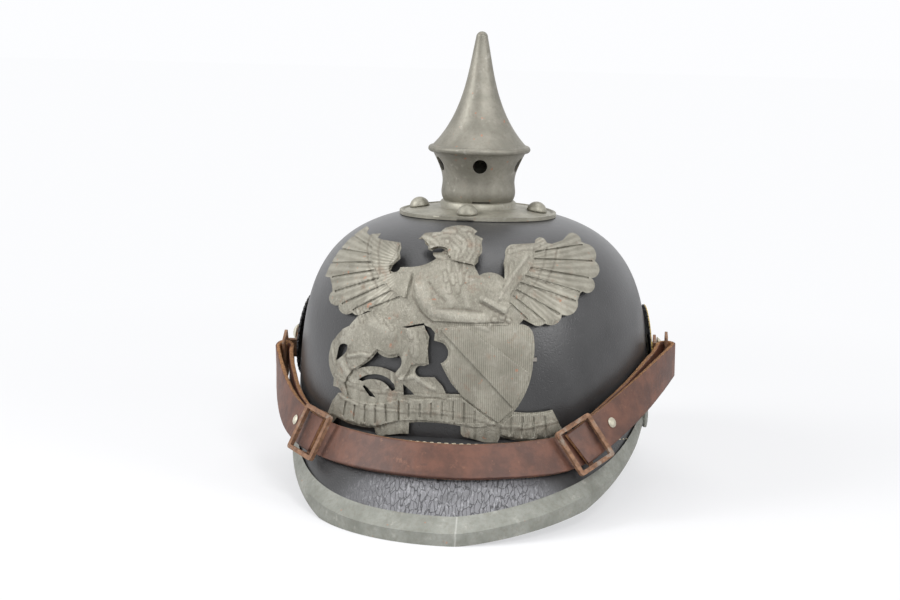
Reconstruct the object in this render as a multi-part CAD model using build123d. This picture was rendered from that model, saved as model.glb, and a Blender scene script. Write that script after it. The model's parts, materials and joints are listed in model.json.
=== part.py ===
from build123d import *
from math import acos, asin, atan2, cos, degrees, hypot, pi, radians, sin, tan
import os

os.makedirs("parts", exist_ok=True)

# Lengths are in mm. The helmet stands on the plane z = 0 and faces -Y.

# General clearances
SEAT_GAP = 0.3          # between pieces that seat on each other
RUN_GAP = 0.4           # between pieces that move on each other
OVERRUN = 4.0           # how far every cutting tool runs past what it cuts

# Leather skull
SKULL_HALF_WIDTH = 95.0
SKULL_HALF_LENGTH = 108.0
CROWN_RISE = 103.0      # from the brow line to the crown
BROW_HEIGHT = 41.0      # brow line above the stand plane
WALL_SHARE = 0.70       # how long the skull's wall stays steep
CROWN_SHARE = 0.87      # how far its crown stays flat
SKULL_LEATHER = 2.6
SKULL_RIM_FRONT = 37.5  # height of the skull's lower rim at front and back
SKULL_RIM_SIDE = 31.0   # and at the ears

# Visor and neck guard
BRIM_SLOPE = 36.8       # fall of the brims in degrees
BRIM_LEATHER = 2.8
BRIM_REACH = 155.5      # leather edge at front and back, from the skull's axis
BRIM_HALF_WIDTH = 94.5
BRIM_SIDE_LINE = 8.0    # how far before the ear line the brims end
BRIM_SIDE_DROP = 8.0    # how much lower the brim joint is at the ears
BRIM_EDGE_HEIGHT = 40.3  # where the line of the brims' side edges passes over the skull's middle
BRIM_EDGE_FALL = 16.7    # degrees that this line falls outward
BRIM_EDGE_LEAN = 2.4     # degrees that the left edge is higher, as the old leather has warped
# Each side of the brims' edge: how far in and forward its first curve point lies, and how far out its last.
BRIM_LEFT_SHARES = (0.901, 0.857, 0.163)
BRIM_RIGHT_SHARES = (0.967, 0.859, 0.331)

# Metal binding of the visor
TRIM_SHEET = 0.8
TRIM_WIDTH = 9.0
TRIM_LIP = 6.0
TRIM_TAB_RADIUS = 5.6
TRIM_TAB_SHEET = 1.4
TRIM_TAB_BACK = 20.0    # tab centre in front of the ear line
TRIM_TAB_HEIGHT = 36.0

# Rear spine and its vent slider
SPINE_WIDTH = 16.0
SPINE_SHEET = 0.8
SPINE_RAIL_WIDTH = 1.8
SPINE_RAIL_HEIGHT = 0.9
SPINE_LIP = 8.0
SLIDER_LENGTH = 15.0
SLIDER_SHEET = 0.8
SLIDER_KNOB_RADIUS = 2.6
SLIDER_KNOB_HEIGHT = 2.2
SLIDER_CLIMB_SHARE = 0.5    # place of the slider on the skull's curve, from rim to crown
VENT_HOLE_RADIUS = 2.2
SPINE_RIVET_CLIMB_SHARES = (0.16, 0.68)
SPINE_RIVET_RADIUS = 2.3
SPINE_RIVET_HEAD = 1.2
SPINE_RIVET_SHANK = 1.0
SPINE_RIVET_WASHER = 3.0
SPINE_RIVET_WASHER_SHEET = 0.8

# Spike base
BASE_RADIUS = 42.5
BASE_SHEET = 1.0
BASE_RIM_WIDTH = 1.8
BASE_RIM_HEIGHT = 0.8
HUB_RADIUS = 20.5
HUB_TOP = 148.0             # height of the hub's top above the stand plane
HUB_BORE = 13.0
HUB_EDGE = 0.8
COLLAR_RADIUS = 16.9
COLLAR_WALL = 1.4
COLLAR_HEIGHT = 9.0
LUG_COUNT = 3
LUG_RADIUS = 1.2
LUG_HEIGHT = 4.2            # lug centre above the hub's top
LUG_REACH = 1.6             # how far a lug stands into its slot
LOCK_ANGLE = 16.0           # side leg of each slot, in degrees
STUD_COUNT = 4
STUD_CIRCLE = 32.0
STUD_RADIUS = 5.5
STUD_HEIGHT = 5.0
STUD_TURN = -6.0
STUD_SHANK = 1.6
STUD_WASHER_RADIUS = 6.0
STUD_WASHER_SHEET = 1.0
STUD_PRONG = 1.6            # how far a shank stands out of its washer

# Spike
NECK_WALL = 1.2
NECK_BOTTOM_RADIUS = 18.6
NECK_BULGE_RADIUS = 20.0
NECK_BULGE_HEIGHT = 5.0     # above the neck's foot
NECK_WAIST_RADIUS = 19.5
NECK_WAIST_HEIGHT = 9.8
NECK_SHOULDER_RADIUS = 22.0
NECK_SHOULDER_HEIGHT = 20.0
NECK_TOP_RADIUS = 25.1
NECK_HEIGHT = 26.3
NECK_NOTCH_WIDTH = 9.5
NECK_NOTCH_HEIGHT = 0.9
NECK_NOTCH_TURN = 8.5
VENT_COUNT = 5
VENT_RADIUS = 3.8
VENT_HEIGHT = 20.0          # vent centre above the neck's foot
VENT_TURN = 5.5
CONE_WALL = 1.1
CONE_RING_RADIUS = 27.6
CONE_RING_HEIGHT = 3.4
CONE_RING_NECK = 25.4       # radius just above the rolled ring
CONE_HEIGHT = 64.4          # from the ring's underside to the tip
CONE_SHOULDER_RADIUS = 16.9
CONE_SHOULDER_HEIGHT = 14.6
CONE_MIDDLE_RADIUS = 8.6
CONE_MIDDLE_HEIGHT = 35.0
CONE_TOP_RADIUS = 4.3
CONE_TOP_HEIGHT = 55.5
CONE_TIP_RADIUS = 3.2
CONE_FLANGE_BORE = 21.0
CONE_FLANGE_SHEET = 1.0

# Side posts, cockades and strap lugs
POST_BACK = 15.0            # behind the skull's axis
POST_HEIGHT = 68.0
POST_SHANK = 2.4
POST_PLATE_RADIUS = 7.0
POST_PLATE_SHEET = 1.0
POST_KNOB_RADIUS = 4.9
POST_KNOB_HEIGHT = 2.6
POST_KNOB_STACK = 7.4       # knob's underside above the skull
POST_WASHER_RADIUS = 7.0
POST_WASHER_SHEET = 1.2
COCKADE_RADIUS = 23.3
COCKADE_SHEET = 0.9
COCKADE_DISH = 1.4
COCKADE_BOSS_RADIUS = 7.5
COCKADE_FLUTES = 40
COCKADE_FLUTE_RADIUS = 0.7
STRAP_LUG_SHEET = 1.5
STRAP_LUG_HEAD = 6.2
STRAP_LUG_STACK = 5.4       # middle of the lug's head above the skull
STRAP_LUG_LENGTH = 22.0     # post centre to the middle of the strap bar
STRAP_LUG_BAR = 3.0
STRAP_LUG_FRAME = 2.4
STRAP_LUG_THROAT = 12.0     # where the head ends and the strap frame starts
STRAP_LUG_FALL_LEFT = 8.0   # how far each lug and its strap end point down at rest, degrees
STRAP_LUG_FALL_RIGHT = 30.0

# Chin strap
STRAP_WIDTH = 18.0
STRAP_LEATHER = 2.2
STRAP_FRONT_REACH = 126.0
STRAP_FRONT_HEIGHT = 33.4
STRAP_SIDE = 100.4          # middle of the strap's inner layer at the lugs
STRAP_MIDDLE_LEFT = 94.5    # half width of the strap's curve in front of the lugs
STRAP_MIDDLE_RIGHT = 97.0
STRAP_LEAN = 38.0           # how far the strap leans back at the front, degrees
STRAP_LIFT_LEFT = 2.0       # height gained from the front to each side, before the rise to the lug
STRAP_LIFT_RIGHT = -0.2
STRAP_RISE_LEFT = 37.0      # where the strap starts to rise, degrees round from the front
STRAP_RISE_RIGHT = 46.0
STRAP_START_SLOPE_LEFT = 22.0
STRAP_START_SLOPE_RIGHT = 5.0
STRAP_LOOP = 8.0            # between the middles of the two layers at the lug
STRAP_LAYER_GAP = 1.8       # clear space between the layers at a buckle
STRAP_STATION_ANGLE = 10.0
BUCKLE_TURN_LEFT = 39.0
BUCKLE_TURN_RIGHT = 48.0
BUCKLE_TURN_STEP = 4.0      # half the turn that a buckle bridges
BUCKLE_WIRE = 2.2
BUCKLE_CORNER = 1.8
BUCKLE_LENGTH = 22.5
BUCKLE_SIDE_GAP = 1.3
BUCKLE_BAR = 3.0
BUCKLE_BAR_SHEET = 0.7
BUCKLE_TILT = 6.0
BUCKLE_LIFT = 6.6           # middle of the frame above the strap's middle
BUCKLE_TAIL = 3.5           # how far the returned end runs past the buckle's bar
STRAP_RIVET_RADIUS = 2.6
STRAP_RIVET_HEAD = 1.0
STRAP_RIVET_SHANK = 1.2
STRAP_RIVET_TURN = 11.0     # behind each buckle

# Front plate
PLATE_STANDOFF = 1.0        # between skull and plate at the brow
PLATE_RISE = 109.0          # crown height of the curve that the plate is pressed to
PLATE_SHEET = 1.1
PLATE_RAISE = 1.0
PLATE_HIGH_RAISE = 2.0
PLATE_GROOVE_DEPTH = 0.5
PLATE_GROOVE_WIDTH = 0.9
PLATE_HEIGHT_ON_SKULL = 92.0    # height of the plate's middle above the stand plane
PLATE_WIDTH = 134.8
PLATE_TOP_SHARE = 0.018         # how much its picture grows towards the top
PLATE_SIDE_SHARE = 0.036        # and towards the sides, which lie farther back
VIEW_TURN = 4.2                 # direction from which the plate's outline is drawn
VIEW_FALL = 10.3
VIEW_ROLL = 1.4
PLATE_WIDTH_PX = 271
PLATE_HEIGHT_PX = 219
PLATE_MIDDLE_PX = (460.5, 335.5)
LOOP_SPREAD = 34.0
LOOP_HEIGHT = 80.0
LOOP_WIDTH = 7.0
LOOP_SHEET = 2.0
LOOP_INSIDE = 7.0
LOOP_EYE = 2.6
WEDGE_LENGTH = 16.0
WEDGE_WIDTH = 4.4

# Sweatband and liner
BAND_LEATHER = 1.5
BAND_TOP = 58.0
LINER_LEATHER = 1.2
LINER_FOOT = 45.0
LINER_RISE = 80.0
LINER_WALL_SHARE = 0.35       # it leans in at once and ends in a round crown
LINER_CROWN_SHARE = 0.6
LINER_FINGERS = 9
LINER_SLOT_SHARE = 0.42     # share of each finger's pitch that is cut away at the top
LINER_SLOT_FOOT = 70.0
LINER_CROWN_OPENING = 22.0
LINER_TIP_HOLE = 2.4
LINER_TIP_CIRCLE = 29.0

# Outline of the front plate in the photograph's pixels, anticlockwise from the head's top.
# A point marked ROUND is the middle of an arc between its neighbours.
ROUND = "round"
PLATE_EDGE_PX = [
    # head and beak
    (470, 227), (457, 225.5, ROUND), (444, 228.5), (440, 232.5), (424, 234), (417.5, 240.5),
    (423, 241), (424.5, 246), (427.5, 248), (427, 251), (431, 252.8), (438, 249.7, ROUND),
    (444, 251.5), (440, 254), (432, 254.3), (432, 256.5), (435.5, 260), (425, 266, ROUND),
    (412, 269), (400, 269.5), (395, 274.5, ROUND), (390.5, 273),
    # left wing
    (393, 267.5), (400, 261), (399.5, 254.5), (401, 250), (400, 244.5), (390, 243), (381, 241.5),
    (377, 239.5), (380, 235), (371, 235.5), (369, 237), (366, 234), (368, 229.5),
    (361, 225.5, ROUND), (351.5, 232.5), (341, 234.5, ROUND), (333.5, 248.5),
    (324, 257, ROUND), (326.5, 265.5), (322.5, 273, ROUND), (330.5, 280), (333, 288),
    (333.5, 294.5), (330.5, 302.5, ROUND), (340, 308), (342.5, 315, ROUND), (352, 316),
    (354, 315.3), (358, 317.6, ROUND), (362, 317), (368, 313.7), (373, 313), (366, 316),
    # hind body and tail
    (360, 318), (352, 328), (345, 331.5), (340.5, 336), (330.7, 358, ROUND), (335.5, 381),
    (335, 389), (340, 390.5), (344, 395.5),
    # ribbon with its two folds
    (340, 396), (334, 404), (329, 417), (329, 421.5), (334, 427), (338.5, 421),
    (355, 428, ROUND), (376, 430.5), (377, 436), (381, 440), (395, 437, ROUND), (410, 436),
    (410.5, 424.5), (436, 424, ROUND), (462, 427), (462.5, 435), (465, 438), (482, 442, ROUND),
    (493, 445.5), (499, 446), (502, 436.5), (526, 440.5, ROUND), (552, 436.5), (556, 439),
    (566.5, 432), (560, 420), (553.5, 408), (535, 411.3, ROUND), (515, 411),
    # shield's edge
    (527.5, 388, ROUND), (532.5, 360), (533.5, 345, ROUND), (531.5, 332), (526, 325.5, ROUND),
    (517.5, 324), (522, 319),
    # right wing
    (530, 323), (536, 325, ROUND), (543, 322.5), (552, 323.5, ROUND), (559.5, 313.5),
    (570, 312.5, ROUND), (575, 299.5), (577.5, 292), (580, 290.3), (591, 288, ROUND),
    (588.5, 277), (597, 268, ROUND), (592.5, 260), (593, 248.5, ROUND), (583.5, 242.5),
    (580, 240.5), (576, 233, ROUND), (568, 232), (561, 239.5), (550, 243.5), (545, 242.5),
    (543.5, 239.5), (538, 237, ROUND), (533.5, 240), (533, 243), (512, 244.5),
    (505, 248, ROUND), (503.5, 256), (501.5, 264), (502.5, 270), (502.5, 279.5),
    # shoulder and back of the neck
    (491, 273.5, ROUND), (477.5, 276.5), (472.8, 267), (476.5, 263), (477, 258), (480.5, 253.5),
    (480.5, 248), (480, 243.5), (481.5, 239), (473, 235), (476, 231.5),
]
PLATE_HOLES_PX = [
    # gap inside the tail
    [(350, 347.5), (345.5, 346, ROUND), (340, 352), (337.8, 362.8), (344.5, 358.5, ROUND)],
    # under the belly
    [(378.5, 353.5), (373, 361), (359.5, 371), (378, 368.5, ROUND), (396, 374.5), (400, 370),
     (402.7, 362, ROUND), (399.5, 357), (391, 359.5, ROUND)],
    # inside the curled tail
    [(360, 382), (364, 383.5), (380, 382, ROUND), (393, 393), (396.5, 391), (395.5, 385.5),
     (380, 376.3, ROUND)],
    [(365.5, 387), (364.5, 389), (371, 398.5), (377, 399.5), (371.5, 392.5)],
    # between the hind feet
    [(404, 385.5), (405, 396.5), (415.5, 395.8), (410, 390.5)],
    # between the body and the shield
    [(424, 326), (425.5, 330.5), (429.5, 337.5), (428.3, 352, ROUND), (429.5, 365), (424, 367),
     (417, 369, ROUND), (421, 378), (435, 378), (443, 386.5), (447, 394.5), (461, 394.5),
     (452, 384), (445, 372), (441, 364), (448.3, 353, ROUND), (438, 342.5), (434, 341.5),
     (435, 334), (431, 329)],
    [(424, 324.4), (402, 328.6), (408, 329.4), (424.5, 326.3)],
]
PLATE_RAISED_PX = [
    # left wing's arm
    [(398.5, 246), (384, 243.5), (372, 238), (371, 262), (384, 284, ROUND), (405, 300), (411, 275),
     (390, 276), (388.5, 270), (397.5, 260), (397, 253)],
    # right wing's arm
    [(531, 245.5), (513, 246), (506, 250), (503.5, 263), (501, 284), (506, 298), (531, 264)],
    # neck and breast
    [(436, 262), (453, 257), (469, 262), (474, 270), (479, 277.5), (503, 282), (509, 296), (503, 322),
     (470, 323), (432, 322), (417, 304, ROUND), (414.5, 282), (420, 272)],
    # thigh and hind leg
    [(362, 320), (380, 316.5), (400, 322), (424, 332), (427, 346, ROUND), (426, 364), (412, 366),
     (404, 382), (399, 380), (403.7, 362, ROUND), (399.5, 355), (390, 357), (378.5, 351),
     (366, 364.5), (353, 373), (346, 386), (349, 398), (340, 386), (338, 366), (352, 344)],
    # shield
    [(437.5, 329), (458, 326.5), (519, 325.5), (529.5, 334), (530.7, 359), (525.5, 387, ROUND),
     (513.5, 410), (500, 422.5), (480, 409), (463, 396.5), (454, 384), (443.5, 365.5),
     (450.5, 353, ROUND), (438.5, 340.5)],
    # ribbon
    [(342, 397.5), (335.5, 406), (331.5, 417), (340, 420.5), (357, 426.5, ROUND), (377, 429),
     (399, 423), (399, 402), (370, 406, ROUND)],
    [(401, 402), (401, 422.5), (430, 422, ROUND), (462, 425.3), (478, 428), (497, 424.5), (478, 410),
     (462, 398)],
    [(503, 424), (503, 435), (527, 438.7, ROUND), (551, 435), (563.5, 430), (553, 410.5),
     (535, 413, ROUND), (515, 413.5)],
]
PLATE_HIGH_PX = [
    # head
    [(420, 239), (425, 235.5), (441, 234), (445, 230), (457, 227.5, ROUND), (470, 229), (471.5, 236),
     (478.5, 240.5), (478.5, 252), (472, 266), (452, 262), (447, 256), (446.5, 250.5),
     (437, 248, ROUND), (430, 250.5), (426.5, 245)],
    # bend across the shield
    [(440, 330.5), (466, 328), (529.5, 372), (524, 388.5), (514, 407)],
    # sword guard
    [(487, 291), (509.5, 304.5), (503.5, 314), (481, 301)],
]
# Feathers: each groove runs from the notch between two tips to the wing's arm.
PLATE_FEATHERS_PX = [
    ((351, 236), (372, 250)), ((336, 250), (371, 257)), ((329, 265.5), (371, 265)),
    ((333, 280), (374, 273)), ((336, 294.5), (379, 281)), ((343, 307), (385, 287)),
    ((354, 313), (392, 293)), ((370, 311.5), (400, 299)),
    ((581, 243.5), (533, 252)), ((590, 260), (532, 259)), ((586, 277), (528, 268)),
    ((577, 291), (523, 276)), ((573, 300), (518, 283)), ((557.5, 313), (514, 290)),
    ((543, 320.5), (511, 296)), ((526, 319), (508, 303)),
]
RIBBON_FLUTES_PX = [
    ((348, 404), (345, 419)), ((357, 407), (355, 423)), ((367, 407), (366, 425)),
    ((377, 407), (377, 426)), ((387, 405), (388, 424)), ((410, 405), (410, 419)),
    ((421, 405), (421, 419)), ((432, 404), (432, 419)), ((443, 403), (443, 420)),
    ((454, 402), (454, 421)), ((465, 403), (465, 423)), ((476, 411), (476, 424)),
    ((513, 417), (512, 434)), ((524, 416), (523, 436)), ((535, 415.5), (535, 436)),
    ((546, 414.5), (548, 434)),
]

BRIM_SIN = sin(radians(BRIM_SLOPE))
BRIM_COS = cos(radians(BRIM_SLOPE))
BRIM_CENTRE = BRIM_SIDE_DROP * BRIM_COS / BRIM_SIN
BRIM_FALL = Vector(0, -BRIM_COS, -BRIM_SIN)
BRIM_TOP = BROW_HEIGHT + OVERRUN
CONE_FOOT = HUB_TOP + NECK_HEIGHT
CROWN_HEIGHT = BROW_HEIGHT + CROWN_RISE
BACK_TURN = 180


# The skull's curve and places on it

def curve_point(share):
    """Point of the skull's unit curve, from rim (0) to crown (1): width share and height share."""
    left = 1 - share
    weights = (left ** 3, 3 * share * left ** 2, 3 * share ** 2 * left, share ** 3)
    across = weights[0] + weights[1] + CROWN_SHARE * weights[2]
    upward = WALL_SHARE * weights[1] + weights[2] + weights[3]
    return across, upward


def climb_share(is_below):
    """Share along the skull's curve where the given test turns false, found by halving."""
    low, high = 0, 1
    for _ in range(40):
        middle = (low + high) / 2
        if is_below(*curve_point(middle)):
            low = middle
        else:
            high = middle
    return low


def on_skull(turn, share):
    """Place on the skull, Z outward and Y up, at a turn from the front towards +X."""
    across, upward = curve_point(share)
    next_across, next_upward = curve_point(share + 1 / 1000)
    side = sin(radians(turn))
    ahead = -cos(radians(turn))
    climb = next_upward - upward
    spread = across - next_across
    spot = Vector(
        SKULL_HALF_WIDTH * across * side,
        SKULL_HALF_LENGTH * across * ahead,
        BROW_HEIGHT + CROWN_RISE * upward,
    )
    normal = Vector(
        climb * side / SKULL_HALF_WIDTH, climb * ahead / SKULL_HALF_LENGTH, spread / CROWN_RISE
    )
    level = Vector(0, 0, 1).cross(normal)
    return Location(Plane(spot, x_dir=level, z_dir=normal))


def dome(grow, drop=OVERRUN, rise=CROWN_RISE, shares=(WALL_SHARE, CROWN_SHARE)):
    """The skull's form, grown by a thickness, with its walls run down by drop."""
    half_width = SKULL_HALF_WIDTH + grow
    half_length = SKULL_HALF_LENGTH + grow
    top = rise + grow
    steep, flat = shares
    curve = Bezier((half_width, 0), (half_width, steep * top), (flat * half_width, top), (0, top))
    rest = Polyline((0, top), (0, -drop), (half_width, -drop), (half_width, 0))
    body = revolve(Plane.XZ * make_face(curve + rest), Axis.Z)
    return Pos(0, 0, BROW_HEIGHT) * scale(body, by=(1, half_length / half_width, 1))


def dome_shell(inner, outer, drop=OVERRUN):
    """The space between two grown copies of the skull's form."""
    return dome(outer, drop) - dome(inner, drop + OVERRUN)


def slab(width, front, back, low, high):
    """A box centred on x = 0, from front to back and from low to high."""
    box = Box(width, back - front, high - low, align=(Align.CENTER, Align.MIN, Align.MIN))
    return Pos(0, front, low) * box


def disc(radius, low, high):
    return Pos(0, 0, low) * extrude(Circle(radius), high - low)


def tube(outer, inner, low, high):
    return disc(outer, low, high) - disc(inner, low - OVERRUN, high + OVERRUN)


def pin(radius, low, high):
    """A cylinder along a place's own Z."""
    return Pos(0, 0, low) * Cylinder(radius, high - low, align=(Align.CENTER, Align.CENTER, Align.MIN))


def domed_head(radius, height, low):
    """A rivet or stud head: part of a ball, flat below."""
    ball = (radius ** 2 + height ** 2) / (2 * height)
    head = Pos(0, 0, low + height - ball) * Sphere(ball)
    keep = pin(radius + ball, low, low + height + ball)
    return head & keep


# Places of the fasteners

def stud_places():
    places = []
    for index in range(STUD_COUNT):
        angle = radians(STUD_TURN + index * 360 / STUD_COUNT)
        x, y = STUD_CIRCLE * sin(angle), -STUD_CIRCLE * cos(angle)
        x_share, y_share = x / SKULL_HALF_WIDTH, y / SKULL_HALF_LENGTH
        spread = hypot(x_share, y_share)
        share = climb_share(lambda across, upward: across > spread)
        places.append(on_skull(degrees(atan2(x_share, -y_share)), share))
    return places


def height_share(height):
    return climb_share(lambda across, upward: upward * CROWN_RISE < height - BROW_HEIGHT)


def post_place(side):
    share = height_share(POST_HEIGHT)
    turn = degrees(acos(-POST_BACK / (SKULL_HALF_LENGTH * curve_point(share)[0])))
    return on_skull(side * turn, share)


def loop_place(side):
    share = height_share(LOOP_HEIGHT)
    turn = degrees(asin(LOOP_SPREAD / (SKULL_HALF_WIDTH * curve_point(share)[0])))
    return on_skull(side * turn, share)


def vent_place():
    return on_skull(BACK_TURN, SLIDER_CLIMB_SHARE)


def spine_rivet_places():
    return [on_skull(BACK_TURN, share) for share in SPINE_RIVET_CLIMB_SHARES]


# Skull, visor, neck guard and their metal edges

def skull():
    body = dome_shell(-SKULL_LEATHER, 0, BROW_HEIGHT)
    far = SKULL_HALF_LENGTH + OVERRUN
    arc = ThreePointArc(
        (-SKULL_HALF_LENGTH, SKULL_RIM_FRONT), (0, SKULL_RIM_SIDE), (SKULL_HALF_LENGTH, SKULL_RIM_FRONT)
    )
    rest = Polyline(
        (SKULL_HALF_LENGTH, SKULL_RIM_FRONT), (far, SKULL_RIM_FRONT), (far, -OVERRUN),
        (-far, -OVERRUN), (-far, SKULL_RIM_FRONT), (-SKULL_HALF_LENGTH, SKULL_RIM_FRONT),
    )
    body -= extrude(Plane.YZ * make_face(arc + rest), SKULL_HALF_WIDTH + OVERRUN, both=True)
    body -= disc(HUB_BORE, BROW_HEIGHT, HUB_TOP)
    depth = SKULL_LEATHER + OVERRUN
    for place in stud_places():
        body -= place * pin(STUD_SHANK + SEAT_GAP, -depth, depth)
    for side in (-1, 1):
        body -= post_place(side) * pin(POST_SHANK + SEAT_GAP, -depth, depth)
        body -= loop_place(side) * Box(LOOP_WIDTH + 2 * SEAT_GAP, LOOP_SHEET + 2 * SEAT_GAP, 2 * depth)
    body -= vent_place() * pin(VENT_HOLE_RADIUS, -depth, depth)
    for place in spine_rivet_places():
        body -= place * pin(SPINE_RIVET_SHANK + SEAT_GAP, -depth, depth)
    return body


def brim_block(grow):
    """Everything under the visor's top surface, grown by a thickness. It falls towards -Y."""
    deep = SKULL_HALF_LENGTH + BRIM_CENTRE + grow / BRIM_SIN
    face = Pos(0, BRIM_CENTRE, BROW_HEIGHT) * Ellipse(SKULL_HALF_WIDTH + grow, deep)
    lead = SKULL_LEATHER + OVERRUN
    length = (BRIM_REACH - SKULL_HALF_LENGTH) / BRIM_COS + OVERRUN + 2 * lead
    return extrude(Pos(BRIM_FALL * -lead) * face, length, dir=BRIM_FALL)


def brim_outline(grow):
    """Upright block with the visor's plan, above its side edges, grown by a thickness."""
    half = BRIM_HALF_WIDTH + grow
    reach = BRIM_REACH + grow
    side = -BRIM_SIDE_LINE
    deep = reach - BRIM_SIDE_LINE
    curves = []
    for edge, shares in ((-half, BRIM_RIGHT_SHARES), (half, BRIM_LEFT_SHARES)):
        narrow, forward, wide = shares
        first = (narrow * edge, side - forward * deep)
        curves.append(Bezier((edge, side), first, (wide * edge, -reach), (0, -reach)))
    plan = make_face(curves + [Line((half, side), (-half, side))])
    above = Box(4 * reach, 4 * reach, reach, align=(Align.CENTER, Align.CENTER, Align.MIN))
    tilt = Pos(0, 0, BRIM_EDGE_HEIGHT - grow) * Rot(BRIM_EDGE_FALL, -BRIM_EDGE_LEAN, 0)
    return extrude(plan, BRIM_TOP) & tilt * above


def brim_sheet(under, over, grow):
    """Sheet between two depths of the visor, cut to its plan and to the skull."""
    sheet = brim_block(over) - brim_block(-under)
    sheet &= brim_outline(grow)
    return sheet - dome(SEAT_GAP, BRIM_TOP)


def to_back(body):
    return mirror(body, about=Plane.XZ)


def visor():
    pieces = brim_sheet(BRIM_LEATHER, 0, 0).solids()
    return max(pieces, key=lambda piece: piece.volume)


def fold(width, lip):
    """Folded sheet round a brim's edge: over its top by a width and under it by a lip."""
    over = SEAT_GAP + TRIM_SHEET
    band = brim_sheet(BRIM_LEATHER + over, over, over)
    band -= Pos(BRIM_FALL * -width) * brim_outline(0)
    band -= brim_sheet(BRIM_LEATHER + SEAT_GAP, SEAT_GAP, SEAT_GAP)
    return band - (brim_block(-BRIM_LEATHER) & Pos(BRIM_FALL * -lip) * brim_outline(0))


def trim_tab(side, grow=0):
    """Rounded end of the binding, a disc against the skull behind the visor's end."""
    turn = degrees(acos(TRIM_TAB_BACK / SKULL_HALF_LENGTH))
    seat = Pos(0, 0, TRIM_TAB_HEIGHT - BROW_HEIGHT) * on_skull(side * turn, 0)
    return seat * pin(TRIM_TAB_RADIUS + grow, SEAT_GAP - grow, SEAT_GAP + TRIM_TAB_SHEET + grow)


def clear_of_tabs(body):
    """Largest piece of a sheet, with room left round the binding's two tabs."""
    for side in (1, -1):
        body -= trim_tab(side, SEAT_GAP)
    return max(body.solids(), key=lambda piece: piece.volume)


def spine_strip(inner, outer, width):
    """Strip of a width down the back of the skull and over the neck guard."""
    reach = BRIM_REACH + SEAT_GAP + TRIM_SHEET
    down = dome_shell(inner, outer, BROW_HEIGHT) & slab(width, 0, reach, OVERRUN, HUB_TOP)
    down -= disc(BASE_RADIUS + SEAT_GAP, BROW_HEIGHT, HUB_TOP)
    down -= to_back(brim_block(inner))
    along = brim_block(outer) - brim_block(inner)
    along &= brim_outline(SEAT_GAP + TRIM_SHEET)
    along -= dome(inner, BRIM_TOP)
    return down + (to_back(along) & slab(width, 0, reach + OVERRUN, 0, BRIM_TOP))


def rear_spine():
    low = SEAT_GAP
    high = SEAT_GAP + SPINE_SHEET
    reach = BRIM_REACH + OVERRUN
    body = spine_strip(low, high, SPINE_WIDTH)
    rails = spine_strip(low, high + SPINE_RAIL_HEIGHT, SPINE_WIDTH)
    body += rails - slab(SPINE_WIDTH - 2 * SPINE_RAIL_WIDTH, 0, reach, 0, HUB_TOP)
    body += to_back(fold(SPINE_LIP, SPINE_LIP)) & slab(SPINE_WIDTH, 0, reach, 0, BRIM_TOP)
    depth = SKULL_LEATHER + OVERRUN
    body -= vent_place() * pin(VENT_HOLE_RADIUS, -depth, depth)
    for place in spine_rivet_places():
        body -= place * pin(SPINE_RIVET_SHANK + SEAT_GAP, -depth, depth)
    return body


def spine_rivet(place):
    top = 2 * SEAT_GAP + SPINE_SHEET
    low = -SKULL_LEATHER - 2 * SEAT_GAP - SPINE_RIVET_WASHER_SHEET
    rivet = pin(SPINE_RIVET_SHANK, low, top) + domed_head(SPINE_RIVET_RADIUS, SPINE_RIVET_HEAD, top)
    rivet += pin(SPINE_RIVET_WASHER, low, low + SPINE_RIVET_WASHER_SHEET)
    return place * rivet


def vent_slider():
    """Cover over the vent hole, running between the spine's rails."""
    low = SEAT_GAP + SPINE_SHEET + RUN_GAP
    high = low + SLIDER_SHEET
    width = SPINE_WIDTH - 2 * SPINE_RAIL_WIDTH - 2 * RUN_GAP
    cover = dome_shell(low, high) & vent_place() * Box(width, SLIDER_LENGTH, SLIDER_LENGTH)
    knob = pin(SLIDER_KNOB_RADIUS, low + SLIDER_SHEET / 2, high + SLIDER_KNOB_HEIGHT / 2)
    knob += domed_head(SLIDER_KNOB_RADIUS, SLIDER_KNOB_HEIGHT, high + SLIDER_KNOB_HEIGHT / 2)
    return cover + vent_place() * knob


# Spike base with its bayonet collar

def around(count, start, piece):
    return [Rot(0, 0, start + index * 360 / count) * piece for index in range(count)]


def bayonet_slot():
    """L-shaped way of one lug: up and out, and round under the collar's edge."""
    half = LUG_RADIUS + RUN_GAP
    wall_low = COLLAR_RADIUS - COLLAR_WALL - OVERRUN
    wall_high = COLLAR_RADIUS + OVERRUN
    middle = HUB_TOP + LUG_HEIGHT
    upright = Pos((wall_low + wall_high) / 2, 0, middle - half) * Box(
        wall_high - wall_low, 2 * half, COLLAR_HEIGHT, align=(Align.CENTER, Align.CENTER, Align.MIN)
    )
    leg = Pos((wall_low + wall_high) / 2, middle) * Rectangle(wall_high - wall_low, 2 * half)
    return upright + revolve(Plane.XZ * leg, Axis.Z, revolution_arc=LOCK_ANGLE)


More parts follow.
